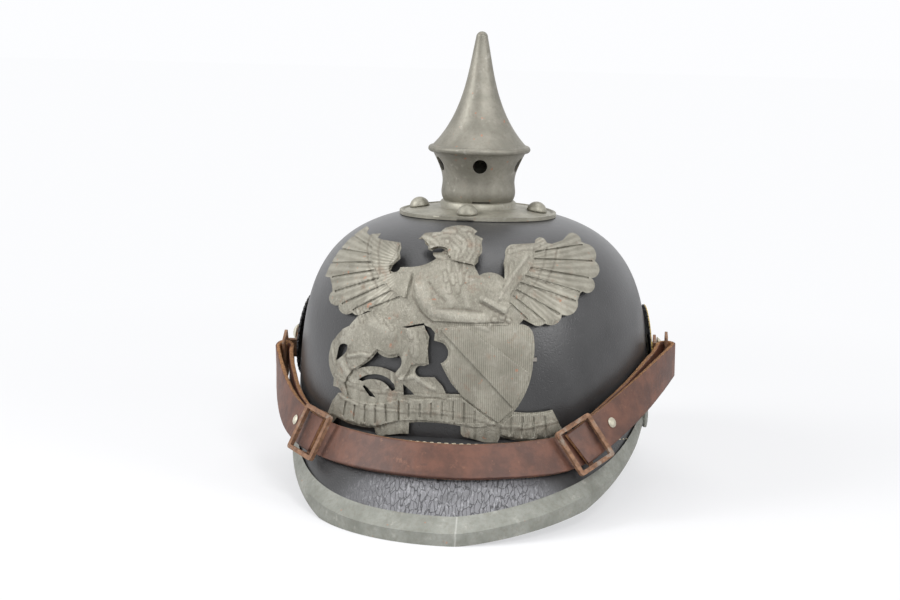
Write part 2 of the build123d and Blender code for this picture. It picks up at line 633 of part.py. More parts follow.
def spike_base():
    body = dome_shell(SEAT_GAP, SEAT_GAP + BASE_SHEET) & disc(BASE_RADIUS, BROW_HEIGHT, HUB_TOP)
    rim = dome_shell(SEAT_GAP, SEAT_GAP + BASE_SHEET + BASE_RIM_HEIGHT)
    body += rim & tube(BASE_RADIUS, BASE_RADIUS - BASE_RIM_WIDTH, BROW_HEIGHT, HUB_TOP)
    hub = disc(HUB_RADIUS, CROWN_HEIGHT - STUD_RADIUS, HUB_TOP)
    hub = chamfer(hub.edges().group_by(Axis.Z)[-1], HUB_EDGE)
    body += hub - dome(SEAT_GAP)
    body -= disc(HUB_BORE, BROW_HEIGHT, HUB_TOP)
    collar = tube(COLLAR_RADIUS, COLLAR_RADIUS - COLLAR_WALL, HUB_TOP, HUB_TOP + COLLAR_HEIGHT)
    for slot in around(LUG_COUNT, 0, bayonet_slot()):
        collar -= slot
    body += collar
    for place in stud_places():
        body -= place * pin(STUD_SHANK + SEAT_GAP, -OVERRUN, OVERRUN)
    return body


def base_stud(place):
    seat = 2 * SEAT_GAP + BASE_SHEET
    low = -SKULL_LEATHER - SEAT_GAP - STUD_WASHER_SHEET - STUD_PRONG
    return place * (pin(STUD_SHANK, low, seat) + domed_head(STUD_RADIUS, STUD_HEIGHT, seat))


def inner_washer(place, radius, sheet, hole):
    high = -SKULL_LEATHER - 2 * SEAT_GAP
    ring = pin(radius, high - sheet, high) - pin(hole + SEAT_GAP, high - sheet - OVERRUN, high + OVERRUN)
    return place * ring


# Spike

def spike_neck():
    outer = Spline(
        (NECK_BOTTOM_RADIUS, 0), (NECK_BULGE_RADIUS, NECK_BULGE_HEIGHT),
        (NECK_WAIST_RADIUS, NECK_WAIST_HEIGHT), (NECK_SHOULDER_RADIUS, NECK_SHOULDER_HEIGHT),
        (NECK_TOP_RADIUS, NECK_HEIGHT),
    )
    inner = Spline(
        (NECK_TOP_RADIUS - NECK_WALL, NECK_HEIGHT), (NECK_SHOULDER_RADIUS - NECK_WALL, NECK_SHOULDER_HEIGHT),
        (NECK_WAIST_RADIUS - NECK_WALL, NECK_WAIST_HEIGHT), (NECK_BULGE_RADIUS - NECK_WALL, NECK_BULGE_HEIGHT),
        (NECK_BOTTOM_RADIUS - NECK_WALL, 0),
    )
    caps = Line(outer @ 1, inner @ 0) + Line(inner @ 1, outer @ 0)
    body = revolve(Plane.XZ * make_face(outer + inner + caps), Axis.Z)
    across = NECK_TOP_RADIUS + OVERRUN
    for turn in range(VENT_COUNT):
        aim = Pos(0, 0, VENT_HEIGHT) * Rot(0, 0, VENT_TURN - 90 + turn * 360 / VENT_COUNT)
        body -= aim * Rot(0, 90, 0) * pin(VENT_RADIUS, 0, across)
    notch = Box(NECK_NOTCH_WIDTH, across, 2 * NECK_NOTCH_HEIGHT, align=(Align.CENTER, Align.MAX, Align.CENTER))
    body -= Rot(0, 0, NECK_NOTCH_TURN) * notch
    reach = COLLAR_RADIUS - LUG_REACH
    lug = Pos(0, 0, LUG_HEIGHT) * Rot(0, 90, 0) * pin(LUG_RADIUS, reach, NECK_BULGE_RADIUS - NECK_WALL / 2)
    for one in around(LUG_COUNT, 0, lug):
        body += one
    return Pos(0, 0, HUB_TOP) * body


def cone_profile(inset):
    """Half profile of the spike above its ring, set in from the outside."""
    return Spline(
        (CONE_RING_NECK - inset, CONE_RING_HEIGHT), (CONE_SHOULDER_RADIUS - inset, CONE_SHOULDER_HEIGHT),
        (CONE_MIDDLE_RADIUS - inset, CONE_MIDDLE_HEIGHT), (CONE_TOP_RADIUS - inset, CONE_TOP_HEIGHT),
        (CONE_TIP_RADIUS - inset, CONE_HEIGHT - CONE_TIP_RADIUS - inset),
    )


def spike_cone():
    outer = cone_profile(0)
    tip = CONE_HEIGHT
    end = outer @ 1
    cap = ThreePointArc(end, (CONE_TIP_RADIUS * sin(pi / 4), tip - CONE_TIP_RADIUS * (1 - cos(pi / 4))), (0, tip))
    ring_low = CONE_RING_RADIUS - CONE_WALL
    ring = ThreePointArc((ring_low, 0), (CONE_RING_RADIUS, CONE_RING_HEIGHT / 2), (CONE_RING_NECK, CONE_RING_HEIGHT))
    shell = make_face(outer + cap + ring + Polyline((0, tip), (0, 0), (ring_low, 0)))
    inner = cone_profile(CONE_WALL)
    top = inner @ 1
    foot = inner @ 0
    hollow = make_face(
        inner + Polyline(top, (0, top.Y), (0, CONE_FLANGE_SHEET), (foot.X, CONE_FLANGE_SHEET), foot)
    )
    bore = Pos(CONE_FLANGE_BORE / 2, 0) * Rectangle(CONE_FLANGE_BORE, 2 * CONE_RING_HEIGHT)
    body = revolve(Plane.XZ * (shell - hollow - bore), Axis.Z)
    return Pos(0, 0, CONE_FOOT) * body


# Side posts, cockades and lugs

def side_post(side):
    post = pin(POST_SHANK, -SKULL_LEATHER - SEAT_GAP - POST_WASHER_SHEET - STUD_PRONG, POST_KNOB_STACK)
    post += pin(POST_PLATE_RADIUS, SEAT_GAP, SEAT_GAP + POST_PLATE_SHEET)
    post += domed_head(POST_KNOB_RADIUS, POST_KNOB_HEIGHT, POST_KNOB_STACK)
    return post_place(side) * post


def cockade(side):
    """Dished disc round the post, with a fluted edge."""
    hub = SEAT_GAP + POST_PLATE_SHEET + RUN_GAP + COCKADE_SHEET / 2
    hole = POST_SHANK + RUN_GAP
    rim = hub - COCKADE_DISH
    half = COCKADE_SHEET / 2
    outline = Polyline(
        (hole, hub - half), (COCKADE_BOSS_RADIUS, hub - half), (COCKADE_RADIUS, rim - half),
        (COCKADE_RADIUS, rim + half), (COCKADE_BOSS_RADIUS, hub + half), (hole, hub + half), close=True,
    )
    body = revolve(Plane.XZ * make_face(outline), Axis.Z)
    flute = Pos(COCKADE_RADIUS, 0, 0) * pin(COCKADE_FLUTE_RADIUS, rim - OVERRUN, rim + OVERRUN)
    return post_place(side) * (body - around(COCKADE_FLUTES, 0, flute))


def strap_pivot(side):
    return (post_place(side) * Pos(0, 0, STRAP_LUG_STACK)).position


def of_side(side, left, right):
    return left if side > 0 else right


def lug_fall(side):
    return radians(of_side(side, STRAP_LUG_FALL_LEFT, STRAP_LUG_FALL_RIGHT))


def strap_bar_point(side):
    """Middle of the bar that the strap loops round."""
    pivot = strap_pivot(side)
    slope = lug_fall(side)
    return Vector(
        side * (STRAP_SIDE + STRAP_LOOP / 2),
        pivot.Y - STRAP_LUG_LENGTH * cos(slope),
        pivot.Z - STRAP_LUG_LENGTH * sin(slope),
    )


def strap_lug(side):
    """Plate on the post that steps outward to a frame with a bar for the strap."""
    pivot = strap_pivot(side)
    half = STRAP_LUG_SHEET / 2
    step = strap_bar_point(side).X - pivot.X
    start = STRAP_LUG_THROAT
    end = STRAP_LUG_LENGTH + STRAP_LUG_BAR / 2
    wide = STRAP_WIDTH + 2 * BUCKLE_SIDE_GAP + 2 * STRAP_LUG_FRAME
    head = extrude(Circle(STRAP_LUG_HEAD), half, both=True)
    neck = Pos(start / 2, 0, 0) * Box(start, 2 * STRAP_LUG_HEAD, STRAP_LUG_SHEET)
    wall = Pos(start + half, 0, abs(step) / 2) * Box(
        STRAP_LUG_SHEET, 2 * STRAP_LUG_HEAD, abs(step) + STRAP_LUG_SHEET
    )
    frame = Pos((start + end) / 2, 0, abs(step)) * Box(end - start, wide, STRAP_LUG_SHEET)
    frame = fillet(frame.edges().filter_by(Axis.Z), STRAP_LUG_FRAME / 2)
    slot_start = start + STRAP_LUG_FRAME
    slot_end = STRAP_LUG_LENGTH - STRAP_LUG_BAR / 2
    slot = Pos((slot_start + slot_end) / 2, 0, abs(step)) * Box(
        slot_end - slot_start, wide - 2 * STRAP_LUG_FRAME, STRAP_LUG_SHEET + OVERRUN
    )
    hole = pin(POST_SHANK + 2 * RUN_GAP, -OVERRUN, OVERRUN)
    body = head + neck + wall + frame - slot - hole
    slope = lug_fall(side)
    along = Vector(0, -cos(slope), -sin(slope))
    return Location(Plane(pivot, x_dir=along, z_dir=Vector(side, 0, 0))) * body


# Chin strap: stations round the front, as angles from the front towards +X

def rise_share(turn):
    """How far a turn lies between the start of the strap's rise and its lug."""
    start = of_side(turn, STRAP_RISE_LEFT, STRAP_RISE_RIGHT)
    return max(0, (abs(turn) - start) / (90 - start))


def strap_height(turn):
    """Height of the strap's middle: near level at the front, then up to the lug."""
    bar = strap_bar_point(of_side(turn, 1, -1))
    lift = of_side(turn, STRAP_LIFT_LEFT, STRAP_LIFT_RIGHT) * sin(radians(abs(turn)))
    share = rise_share(turn)
    if share == 0:
        return STRAP_FRONT_HEIGHT + lift
    start = of_side(turn, STRAP_RISE_LEFT, STRAP_RISE_RIGHT)
    length = (STRAP_FRONT_REACH + bar.Y) * radians(90 - start)
    first = tan(radians(of_side(turn, STRAP_START_SLOPE_LEFT, STRAP_START_SLOPE_RIGHT))) * length
    last = tan(lug_fall(turn)) * length
    rise = bar.Z - STRAP_FRONT_HEIGHT - lift
    height = STRAP_FRONT_HEIGHT + lift + rise * (3 * share ** 2 - 2 * share ** 3)
    return height + first * (share ** 3 - 2 * share ** 2 + share) + last * (share ** 3 - share ** 2)


def strap_middle(turn):
    bar = strap_bar_point(of_side(turn, 1, -1))
    middle = of_side(turn, STRAP_MIDDLE_LEFT, STRAP_MIDDLE_RIGHT)
    half_width = middle + (STRAP_SIDE - middle) * rise_share(turn) ** 3
    deep = STRAP_FRONT_REACH + bar.Y
    return Vector(
        half_width * sin(radians(turn)), bar.Y - deep * cos(radians(turn)), strap_height(turn)
    )


def strap_plane(turn, offset=0, step=STRAP_STATION_ANGLE / 100):
    """Cross-section plane of the strap: X across its width (up), Y through it, Z along it."""
    before = strap_middle(max(turn - step, -90))
    after = strap_middle(min(turn + step, 90))
    along = (after - before).normalized()
    outward = Vector(along.Y, -along.X, 0).normalized()
    lean = radians(STRAP_LEAN) * cos(radians(turn))
    upward = Vector(0, 0, cos(lean)) - outward * sin(lean)
    upward = (upward - along * upward.dot(along)).normalized()
    through = along.cross(upward)
    return Plane(strap_middle(turn) + through * offset, x_dir=upward, z_dir=along)


def strap_layer(start, end, offset_at):
    count = max(3, round(abs(end - start) / STRAP_STATION_ANGLE) + 1)
    turns = [start + (end - start) * index / (count - 1) for index in range(count)]
    faces = [strap_plane(turn, offset_at(turn)) * Rectangle(STRAP_WIDTH, STRAP_LEATHER) for turn in turns]
    return loft(faces)


def buckle_turn(side):
    return side * (BUCKLE_TURN_LEFT if side > 0 else BUCKLE_TURN_RIGHT)


def return_offset(side):
    """Distance between the strap's layers, from the loop at the lug to the buckle."""
    near = STRAP_LEATHER + STRAP_LAYER_GAP
    start = abs(buckle_turn(side))

    def offset_at(turn):
        share = max(0, (abs(turn) - start) / (90 - start))
        return near + (STRAP_LOOP - near) * share ** 3

    return offset_at


def tail_turn(side):
    """Where the returned end stops, just past the buckle's bar."""
    return buckle_turn(side) - side * degrees(BUCKLE_TAIL / STRAP_FRONT_REACH)


def strap_fold(side):
    """Half turn of the strap round the lug's bar."""
    plane = strap_plane(side * 90)
    face = plane * Rectangle(STRAP_WIDTH, STRAP_LEATHER)
    axis = Axis(plane.origin + plane.y_dir * (STRAP_LOOP / 2), plane.x_dir)
    return revolve(face, axis, revolution_arc=side * -180)


def rivet_places(side):
    plane = strap_plane(buckle_turn(side) + side * STRAP_RIVET_TURN)
    return Plane(plane.origin, x_dir=plane.z_dir, z_dir=plane.y_dir)


def chin_strap():
    body = strap_layer(-90, 90, lambda turn: 0)
    for side in (-1, 1):
        body += strap_fold(side)
        body += strap_layer(side * 90, tail_turn(side), return_offset(side))
    for side in (-1, 1):
        body -= rivet_places(side) * pin(STRAP_RIVET_SHANK + SEAT_GAP, -STRAP_WIDTH, STRAP_WIDTH)
    return body


def strap_rivet(side):
    turn = buckle_turn(side) + side * STRAP_RIVET_TURN
    top = STRAP_LEATHER / 2 + return_offset(side)(turn) + SEAT_GAP
    low = STRAP_LEATHER / 2 + SEAT_GAP
    rivet = pin(STRAP_RIVET_SHANK, -low, top)
    rivet += domed_head(STRAP_RIVET_RADIUS, STRAP_RIVET_HEAD, top)
    return rivet_places(side) * rivet


def buckle(side):
    """Rectangular frame over the strap, with a bar between its layers."""
    plane = strap_plane(buckle_turn(side), 0, BUCKLE_TURN_STEP)
    place = Plane(plane.origin, x_dir=plane.z_dir * side, z_dir=plane.y_dir)
    wide = STRAP_WIDTH + 2 * (BUCKLE_SIDE_GAP + BUCKLE_WIRE)
    frame = Box(BUCKLE_LENGTH, wide, BUCKLE_WIRE)
    frame = fillet(frame.edges().filter_by(Axis.Z), BUCKLE_CORNER)
    frame -= Box(BUCKLE_LENGTH - 2 * BUCKLE_WIRE, wide - 2 * BUCKLE_WIRE, BUCKLE_WIRE + OVERRUN)
    frame = Pos(0, 0, BUCKLE_LIFT) * Rot(0, -BUCKLE_TILT, 0) * frame
    middle = STRAP_LEATHER / 2 + STRAP_LAYER_GAP / 2
    bar = Pos(0, 0, middle) * Box(BUCKLE_BAR, wide - BUCKLE_WIRE, BUCKLE_BAR_SHEET)
    body = frame + bar
    for edge in (-1, 1):
        low = middle - BUCKLE_BAR_SHEET / 2
        leg = Box(BUCKLE_BAR, BUCKLE_WIRE, BUCKLE_LIFT - low, align=(Align.CENTER, Align.CENTER, Align.MIN))
        body += Pos(0, edge * (wide - BUCKLE_WIRE) / 2, low) * leg
    return Location(place) * body


# Front plate

def plate_point(x, y):
    """Point of the photograph on the plane from which the plate is drawn."""
    across = x - PLATE_MIDDLE_PX[0]
    upward = PLATE_MIDDLE_PX[1] - y
    side_share = across / (PLATE_WIDTH_PX / 2)
    top_share = upward / (PLATE_HEIGHT_PX / 2)
    grow = 1 + PLATE_TOP_SHARE * top_share + PLATE_SIDE_SHARE * side_share ** 2
    size = PLATE_WIDTH / PLATE_WIDTH_PX * grow
    return Vector(across * size, upward * size)


def plate_plane():
    """Plane that faces the camera at the middle of the plate."""
    front = -SKULL_HALF_LENGTH * curve_point(height_share(PLATE_HEIGHT_ON_SKULL))[0]
    turn, fall = radians(VIEW_TURN), radians(VIEW_FALL)
    toward = Vector(sin(turn) * cos(fall), -cos(turn) * cos(fall), sin(fall))
    level = Vector(cos(turn), sin(turn), 0)
    plane = Plane((0, front, PLATE_HEIGHT_ON_SKULL), x_dir=level, z_dir=toward)
    return plane.rotated((0, 0, VIEW_ROLL))


def plate_face(outline):
    """Face inside an outline of pixels, with arcs where a point is marked ROUND."""
    points = [(plate_point(*mark[:2]), len(mark) > 2) for mark in outline]
    edges = []
    index = 0
    count = len(points)
    while index < count:
        start = points[index][0]
        middle, is_round = points[(index + 1) % count]
        if is_round:
            edges.append(ThreePointArc(start, middle, points[(index + 2) % count][0]))
            index += 2
        else:
            edges.append(Line(start, middle))
            index += 1
    return make_face(edges)


def plate_prism(face):
    """Block through the skull's front with an outline seen from the camera."""
    return extrude(plate_plane() * face, SKULL_HALF_LENGTH / 2, both=True)


def stroke_face(start, end):
    first, last = plate_point(*start), plate_point(*end)
    along = (last - first).normalized()
    across = Vector(-along.Y, along.X) * (PLATE_GROOVE_WIDTH / 2)
    return make_face(Polyline(first + across, last + across, last - across, first - across, close=True))


def plate_form(grow):
    """The curve that the plate is pressed to: steeper than the skull, so its top stands clear."""
    return dome(PLATE_STANDOFF + grow, OVERRUN, PLATE_RISE)


def front_plate():
    """The plate at its highest level, cut down step by step to the lower levels."""
    edge = plate_face(PLATE_EDGE_PX)
    for hole in PLATE_HOLES_PX:
        edge -= plate_face(hole)
    body = plate_prism(edge) & plate_form(PLATE_SHEET + PLATE_HIGH_RAISE)
    body -= plate_form(0)
    around_plate = Rectangle(2 * PLATE_WIDTH, 2 * PLATE_WIDTH)
    for outline in PLATE_HIGH_PX:
        around_plate -= plate_face(outline)
    body -= plate_prism(around_plate) - plate_form(PLATE_SHEET + PLATE_RAISE)
    for outline in PLATE_RAISED_PX:
        around_plate -= plate_face(outline)
    body -= plate_prism(around_plate) - plate_form(PLATE_SHEET)
    body -= plate_grooves(PLATE_FEATHERS_PX, PLATE_SHEET)
    body -= plate_grooves(RIBBON_FLUTES_PX, PLATE_SHEET + PLATE_RAISE)
    return body - brim_block(SEAT_GAP)


def plate_grooves(strokes, level):
    floor = plate_form(level - PLATE_GROOVE_DEPTH)
    return [plate_prism(stroke_face(start, end)) - floor for start, end in strokes]


def plate_loop(side):
    """Flat loop on the plate's back, through the skull, with an eye for its wedge."""
    low = -SKULL_LEATHER - LOOP_INSIDE
    loop = Pos(0, 0, low) * Box(
        LOOP_WIDTH, LOOP_SHEET, PLATE_WIDTH - low, align=(Align.CENTER, Align.CENTER, Align.MIN)
    )
    eye = Pos(0, 0, -SKULL_LEATHER - LOOP_INSIDE / 2) * Box(WEDGE_WIDTH + 2 * SEAT_GAP, LOOP_WIDTH, LOOP_EYE)
    return loop_place(side) * (loop - eye) & plate_form(-SEAT_GAP)


def plate_wedge(side):
    """Leather wedge through a loop's eye."""
    block = Box(WEDGE_WIDTH, WEDGE_LENGTH, LOOP_EYE - 2 * SEAT_GAP)
    return loop_place(side) * Pos(0, 0, -SKULL_LEATHER - LOOP_INSIDE / 2) * block


# Sweatband and liner

def sweatband():
    outer = -SKULL_LEATHER - SEAT_GAP
    band = dome_shell(outer - BAND_LEATHER, outer, BROW_HEIGHT)
    reach = SKULL_HALF_LENGTH
    return band & slab(2 * SKULL_HALF_WIDTH, -reach, reach, SKULL_RIM_FRONT, BAND_TOP)


def liner():
    """Thin leather cap cut into fingers, inside the sweatband."""
    outer = -SKULL_LEATHER - BAND_LEATHER - 2 * SEAT_GAP
    rise = LINER_RISE - outer
    shares = (LINER_WALL_SHARE, LINER_CROWN_SHARE)
    cap = dome(outer, OVERRUN, rise, shares) - dome(outer - LINER_LEATHER, 2 * OVERRUN, rise, shares)
    cap -= disc(SKULL_HALF_LENGTH, 0, LINER_FOOT)
    cap -= disc(LINER_CROWN_OPENING, BROW_HEIGHT, HUB_TOP)
    pitch = 2 * pi / LINER_FINGERS
    for index in range(LINER_FINGERS):
        turn = 360 / LINER_FINGERS * (index + 0.5)
        half = SKULL_HALF_LENGTH * tan(pitch * LINER_SLOT_SHARE / 2)
        far = SKULL_HALF_LENGTH
        wedge = make_face(Polyline((0, LINER_SLOT_FOOT), (half, HUB_TOP), (-half, HUB_TOP), close=True))
        cap -= Rot(0, 0, turn) * extrude(Plane.XZ * wedge, far)
        hole = Pos(0, -LINER_TIP_CIRCLE, BROW_HEIGHT) * pin(LINER_TIP_HOLE, 0, HUB_TOP)
        cap -= Rot(0, 0, turn + 180 / LINER_FINGERS) * hole
    return cap


def group(pieces):
    return Compound(children=[piece.solid() if hasattr(piece, "solid") else piece for piece in pieces])


NODES = {
    "skull": skull,
    "front_visor": lambda: clear_of_tabs(visor()),
    "neck_guard": lambda: to_back(visor()),
    "visor_trim": lambda: clear_of_tabs(fold(TRIM_WIDTH, TRIM_LIP)),
    "trim_tabs": lambda: group([trim_tab(-1), trim_tab(1)]),
    "rear_spine": rear_spine,
    "spine_rivets": lambda: group([spine_rivet(place) for place in spine_rivet_places()]),
    "vent_slider": vent_slider,
    "spike_base": spike_base,
    "base_studs": lambda: group([base_stud(place) for place in stud_places()]),
    "stud_washers": lambda: group(
        [inner_washer(place, STUD_WASHER_RADIUS, STUD_WASHER_SHEET, STUD_SHANK) for place in stud_places()]
    ),
    "spike_neck": spike_neck,
    "spike_cone": spike_cone,
    "front_plate": front_plate,
    "plate_loops": lambda: group([plate_loop(-1), plate_loop(1)]),
    "plate_wedges": lambda: group([plate_wedge(-1), plate_wedge(1)]),
    "post_left": lambda: side_post(1),
    "post_right": lambda: side_post(-1),
    "post_washers": lambda: group(
        [inner_washer(post_place(side), POST_WASHER_RADIUS, POST_WASHER_SHEET, POST_SHANK) for side in (-1, 1)]
    ),
    "cockade_left": lambda: cockade(1),
    "cockade_right": lambda: cockade(-1),
    "lug_left": lambda: strap_lug(1),
    "lug_right": lambda: strap_lug(-1),
    "chin_strap": chin_strap,
    "buckle_left": lambda: buckle(1),
    "buckle_right": lambda: buckle(-1),
    "strap_rivets": lambda: group([strap_rivet(-1), strap_rivet(1)]),
    "sweatband": sweatband,
    "liner": liner,
}

for name, build in NODES.items():
    export_step(build(), os.path.join("parts", name + ".step"))
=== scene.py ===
# %% [markdown]
# # A spiked leather helmet
# The helmet is a pressed leather shell with metal fittings: a spike on a base, a pierced plate,
# folded edges, side rosettes and a chin strap. The solid model gives every form and place, so the
# work here is the surface: smooth shading, leather grain, worn metal, rust, stitches and light.

import json
import math

import bmesh
import bpy
from mathutils import Matrix, Vector, noise


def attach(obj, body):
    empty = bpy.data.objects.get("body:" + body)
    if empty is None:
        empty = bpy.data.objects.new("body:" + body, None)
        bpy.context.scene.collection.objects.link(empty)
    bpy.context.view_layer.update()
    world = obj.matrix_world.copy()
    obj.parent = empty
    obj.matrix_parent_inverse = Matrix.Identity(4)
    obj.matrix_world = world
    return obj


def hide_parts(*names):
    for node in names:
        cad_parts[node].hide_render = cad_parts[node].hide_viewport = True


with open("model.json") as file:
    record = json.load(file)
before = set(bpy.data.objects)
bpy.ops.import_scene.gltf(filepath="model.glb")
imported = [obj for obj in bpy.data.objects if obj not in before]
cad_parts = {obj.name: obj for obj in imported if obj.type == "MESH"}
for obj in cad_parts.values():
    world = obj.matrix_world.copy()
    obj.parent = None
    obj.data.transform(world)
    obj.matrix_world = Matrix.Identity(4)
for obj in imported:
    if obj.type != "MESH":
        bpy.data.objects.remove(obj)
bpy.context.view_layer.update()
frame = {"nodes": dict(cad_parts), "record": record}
nodes = frame["nodes"]
MM = 0.001
body_of = {}
for body, members in frame["record"]["behaviour"]["bodies"].items():
    for member in members:
        body_of[member] = body

# %% [markdown]
# ## Shader maths that reads like sums
# A finish is a small network of nodes. Wrapping each output in a class that knows how to add and
# multiply lets a pattern be written as one line of arithmetic.

# %% A socket that can be added and multiplied
class Value:
    """One output of a node tree. Sums and products on it add Math nodes."""

    def __init__(self, finish, socket):
        self.finish = finish
        self.socket = socket

    def math(self, operation, other, swap=False):
        first, second = (other, self) if swap else (self, other)
        return self.finish.node("ShaderNodeMath", {"operation": operation}, {0: first, 1: second})

    def __add__(self, other):
        return self.math("ADD", other)

    def __sub__(self, other):
        return self.math("SUBTRACT", other)

    def __mul__(self, other):
        return self.math("MULTIPLY", other)

    def __rsub__(self, other):
        return self.math("SUBTRACT", other, True)

    __radd__ = __add__
    __rmul__ = __mul__


print("sums ready:", hasattr(Value, "__rsub__"))


# %% A finish: one material and the patterns it is made of
class Finish:
    """A material in the making, with the patterns that the helmet needs."""

    def __init__(self, name):
        self.material = bpy.data.materials.new(name)
        self.material.use_nodes = True
        self.tree = self.material.node_tree
        self.tree.nodes.clear()
        self.place = self.node("ShaderNodeTexCoord", output="Object")

    def node(self, kind, settings=None, sockets=None, output=0):
        made = self.tree.nodes.new(kind)
        for key, value in (settings or {}).items():
            setattr(made, key, value)
        for key, value in (sockets or {}).items():
            if isinstance(value, Value):
                self.tree.links.new(value.socket, made.inputs[key])
            else:
                made.inputs[key].default_value = value
        return Value(self, made.outputs[output]) if made.outputs else None

    def stretched(self, factors):
        return self.node("ShaderNodeVectorMath", {"operation": "MULTIPLY"}, {0: self.place, 1: factors})

    def noise(self, size, detail=3, rough=0.55, stretch=None, twist=0):
        where = self.stretched(stretch) if stretch else self.place
        sockets = {"Vector": where, "Scale": 1 / (size * MM), "Detail": detail, "Roughness": rough,
                   "Distortion": twist}
        return self.node("ShaderNodeTexNoise", None, sockets, "Fac")

    def cells(self, size, feature="F1", twist=None):
        where = twist if twist else self.place
        return self.node("ShaderNodeTexVoronoi", {"feature": feature},
                         {"Vector": where, "Scale": 1 / (size * MM)}, "Distance")

    def ramp(self, value, low, high):
        """0 below low, 1 above high, smooth between them."""
        return self.node("ShaderNodeMapRange", {"interpolation_type": "SMOOTHSTEP"},
                         {"Value": value, "From Min": low, "From Max": high}, "Result")

    def mix(self, mask, first, second):
        sockets = {0: mask, 6: self.colour(first), 7: self.colour(second)}
        return self.node("ShaderNodeMix", {"data_type": "RGBA"}, sockets, 2)

    def colour(self, value):
        return value if isinstance(value, Value) else (*value, 1)

    def axis(self, name):
        return self.node("ShaderNodeSeparateXYZ", None, {0: self.place}, name)

    def band(self, value, middle, half, soft):
        """1 where a value lies within half of the middle."""
        off = (value - middle).math("ABSOLUTE", 0)
        return 1 - self.ramp(off, half - soft, half + soft)

    def done(self, colour, rough, metal=0.0, height=None, coat=0.0, shine=0.5):
        """Height is in millimetres."""
        sockets = {"Base Color": self.colour(colour), "Roughness": rough, "Metallic": metal}
        if height is not None:
            sockets["Normal"] = self.node("ShaderNodeBump", None, {"Strength": 1.0, "Distance": MM,
                                                                  "Height": height})
        surface = self.node("ShaderNodeBsdfPrincipled", None, sockets)
        surface.socket.node.inputs["Coat Weight"].default_value = coat
        surface.socket.node.inputs["Coat Roughness"].default_value = 0.35
        surface.socket.node.inputs["Specular IOR Level"].default_value = shine
        self.node("ShaderNodeOutputMaterial", None, {"Surface": surface})
        print("finish:", self.material.name, len(self.tree.nodes), "nodes")
        return self.material


# %% [markdown]
# ## Black leather
# The skull and the two brims are hide that was pressed over a mould, blackened and lacquered. Age
# leaves a fine grain, faint scuffs and, on the front brim, a net of creases where the lacquer has
# cracked pale. That pale middle of the front brim is partly a painted sheen, and its sides are
# darkened with painted shade. Grain is a fine noise, the creases are the borders of stretched cells.

# %% Leather of the skull and the rear brim
def leather_base(finish):
    grain = finish.noise(0.9, 4, 0.6)
    pores = finish.ramp(finish.cells(1.3), 0.1, 0.5)
    cloud = finish.noise(45, 3, 0.6)
    scuff = finish.ramp(finish.noise(7, 5, 0.7, (1, 1, 2.5)), 0.62, 0.74)
    height = grain * 0.12 + pores * 0.06 + cloud * 0.25
    rough = 0.24 + cloud * 0.12 + scuff * 0.12 + grain * 0.08
    tone = finish.mix(finish.ramp(cloud, 0.35, 0.7), (0.019, 0.019, 0.020), (0.036, 0.036, 0.037))
    tone = finish.mix(scuff * 0.3, tone, (0.10, 0.10, 0.10))
    return tone, rough, height


def skull_leather():
    finish = Finish("skull leather")
    tone, rough, height = leather_base(finish)
    return finish.done(tone, rough, height=height, coat=0.25)


skull_finish = skull_leather()


# %% Leather of the front brim, with its cracked lacquer, a painted sheen in the middle and painted shade at the sides
def brim_leather():
    finish = Finish("brim leather")
    tone, rough, height = leather_base(finish)
    wander = finish.node("ShaderNodeVectorMath", {"operation": "ADD"}, {
        0: finish.stretched((1.9, 0.5, 0.7)),
        1: finish.node("ShaderNodeVectorMath", {"operation": "SCALE"}, {
            0: finish.node("ShaderNodeTexNoise", None,
                           {"Vector": finish.place, "Scale": 160.0, "Detail": 3.0}, "Color"),
            "Scale": 0.004}),
    })
    crease = 1 - finish.ramp(finish.cells(3.6, "DISTANCE_TO_EDGE", wander), 0.0, 0.09)
    front = finish.ramp(finish.axis("Y"), -0.112, -0.128)
    middle = finish.band(finish.axis("X"), 0.004, 0.05, 0.03)
    aside = finish.axis("X").math("ABSOLUTE", 0)
    patch = finish.ramp(finish.noise(16, 3), 0.2, 0.4)
    # The pale middle is partly cracked lacquer and partly a painted sheen.
    cracked_and_sheen = front * middle * (0.35 + patch * 0.65)
    # Painted shade: the front brim is painted darker towards its sides.
    painted_side_shade = finish.ramp(aside, 0.045, 0.075) * front
    net = crease * cracked_and_sheen
    tone = finish.mix(painted_side_shade * 0.7, tone, (0.012, 0.012, 0.013))
    tone = finish.mix(cracked_and_sheen * 0.8, tone, (0.235, 0.235, 0.25))
    tone = finish.mix(net * 0.85, tone, (0.016, 0.016, 0.018))
    # Brighter streaks in the middle: partly pale cracks, partly a painted highlight.
    bright_cracks_and_sheen = finish.ramp(finish.noise(2.4, 4, 0.65, (1.6, 0.6, 1)), 0.5, 0.68) * cracked_and_sheen
    tone = finish.mix(bright_cracks_and_sheen * 0.55, tone, (0.42, 0.42, 0.44))
    return finish.done(tone, rough + cracked_and_sheen * 0.12, height=height - net * 0.22 + bright_cracks_and_sheen * 0.06, coat=0.1)


brim_finish = brim_leather()

# %% [markdown]
# ## Worn grey metal
# The fittings are steel sheet with a dull grey coat that has rubbed, spotted and rusted in places.
# One recipe serves them all: cloudy tone, darker dirt, small rust freckles and brighter rubbed
# spots. Each fitting sets how much of each it has.

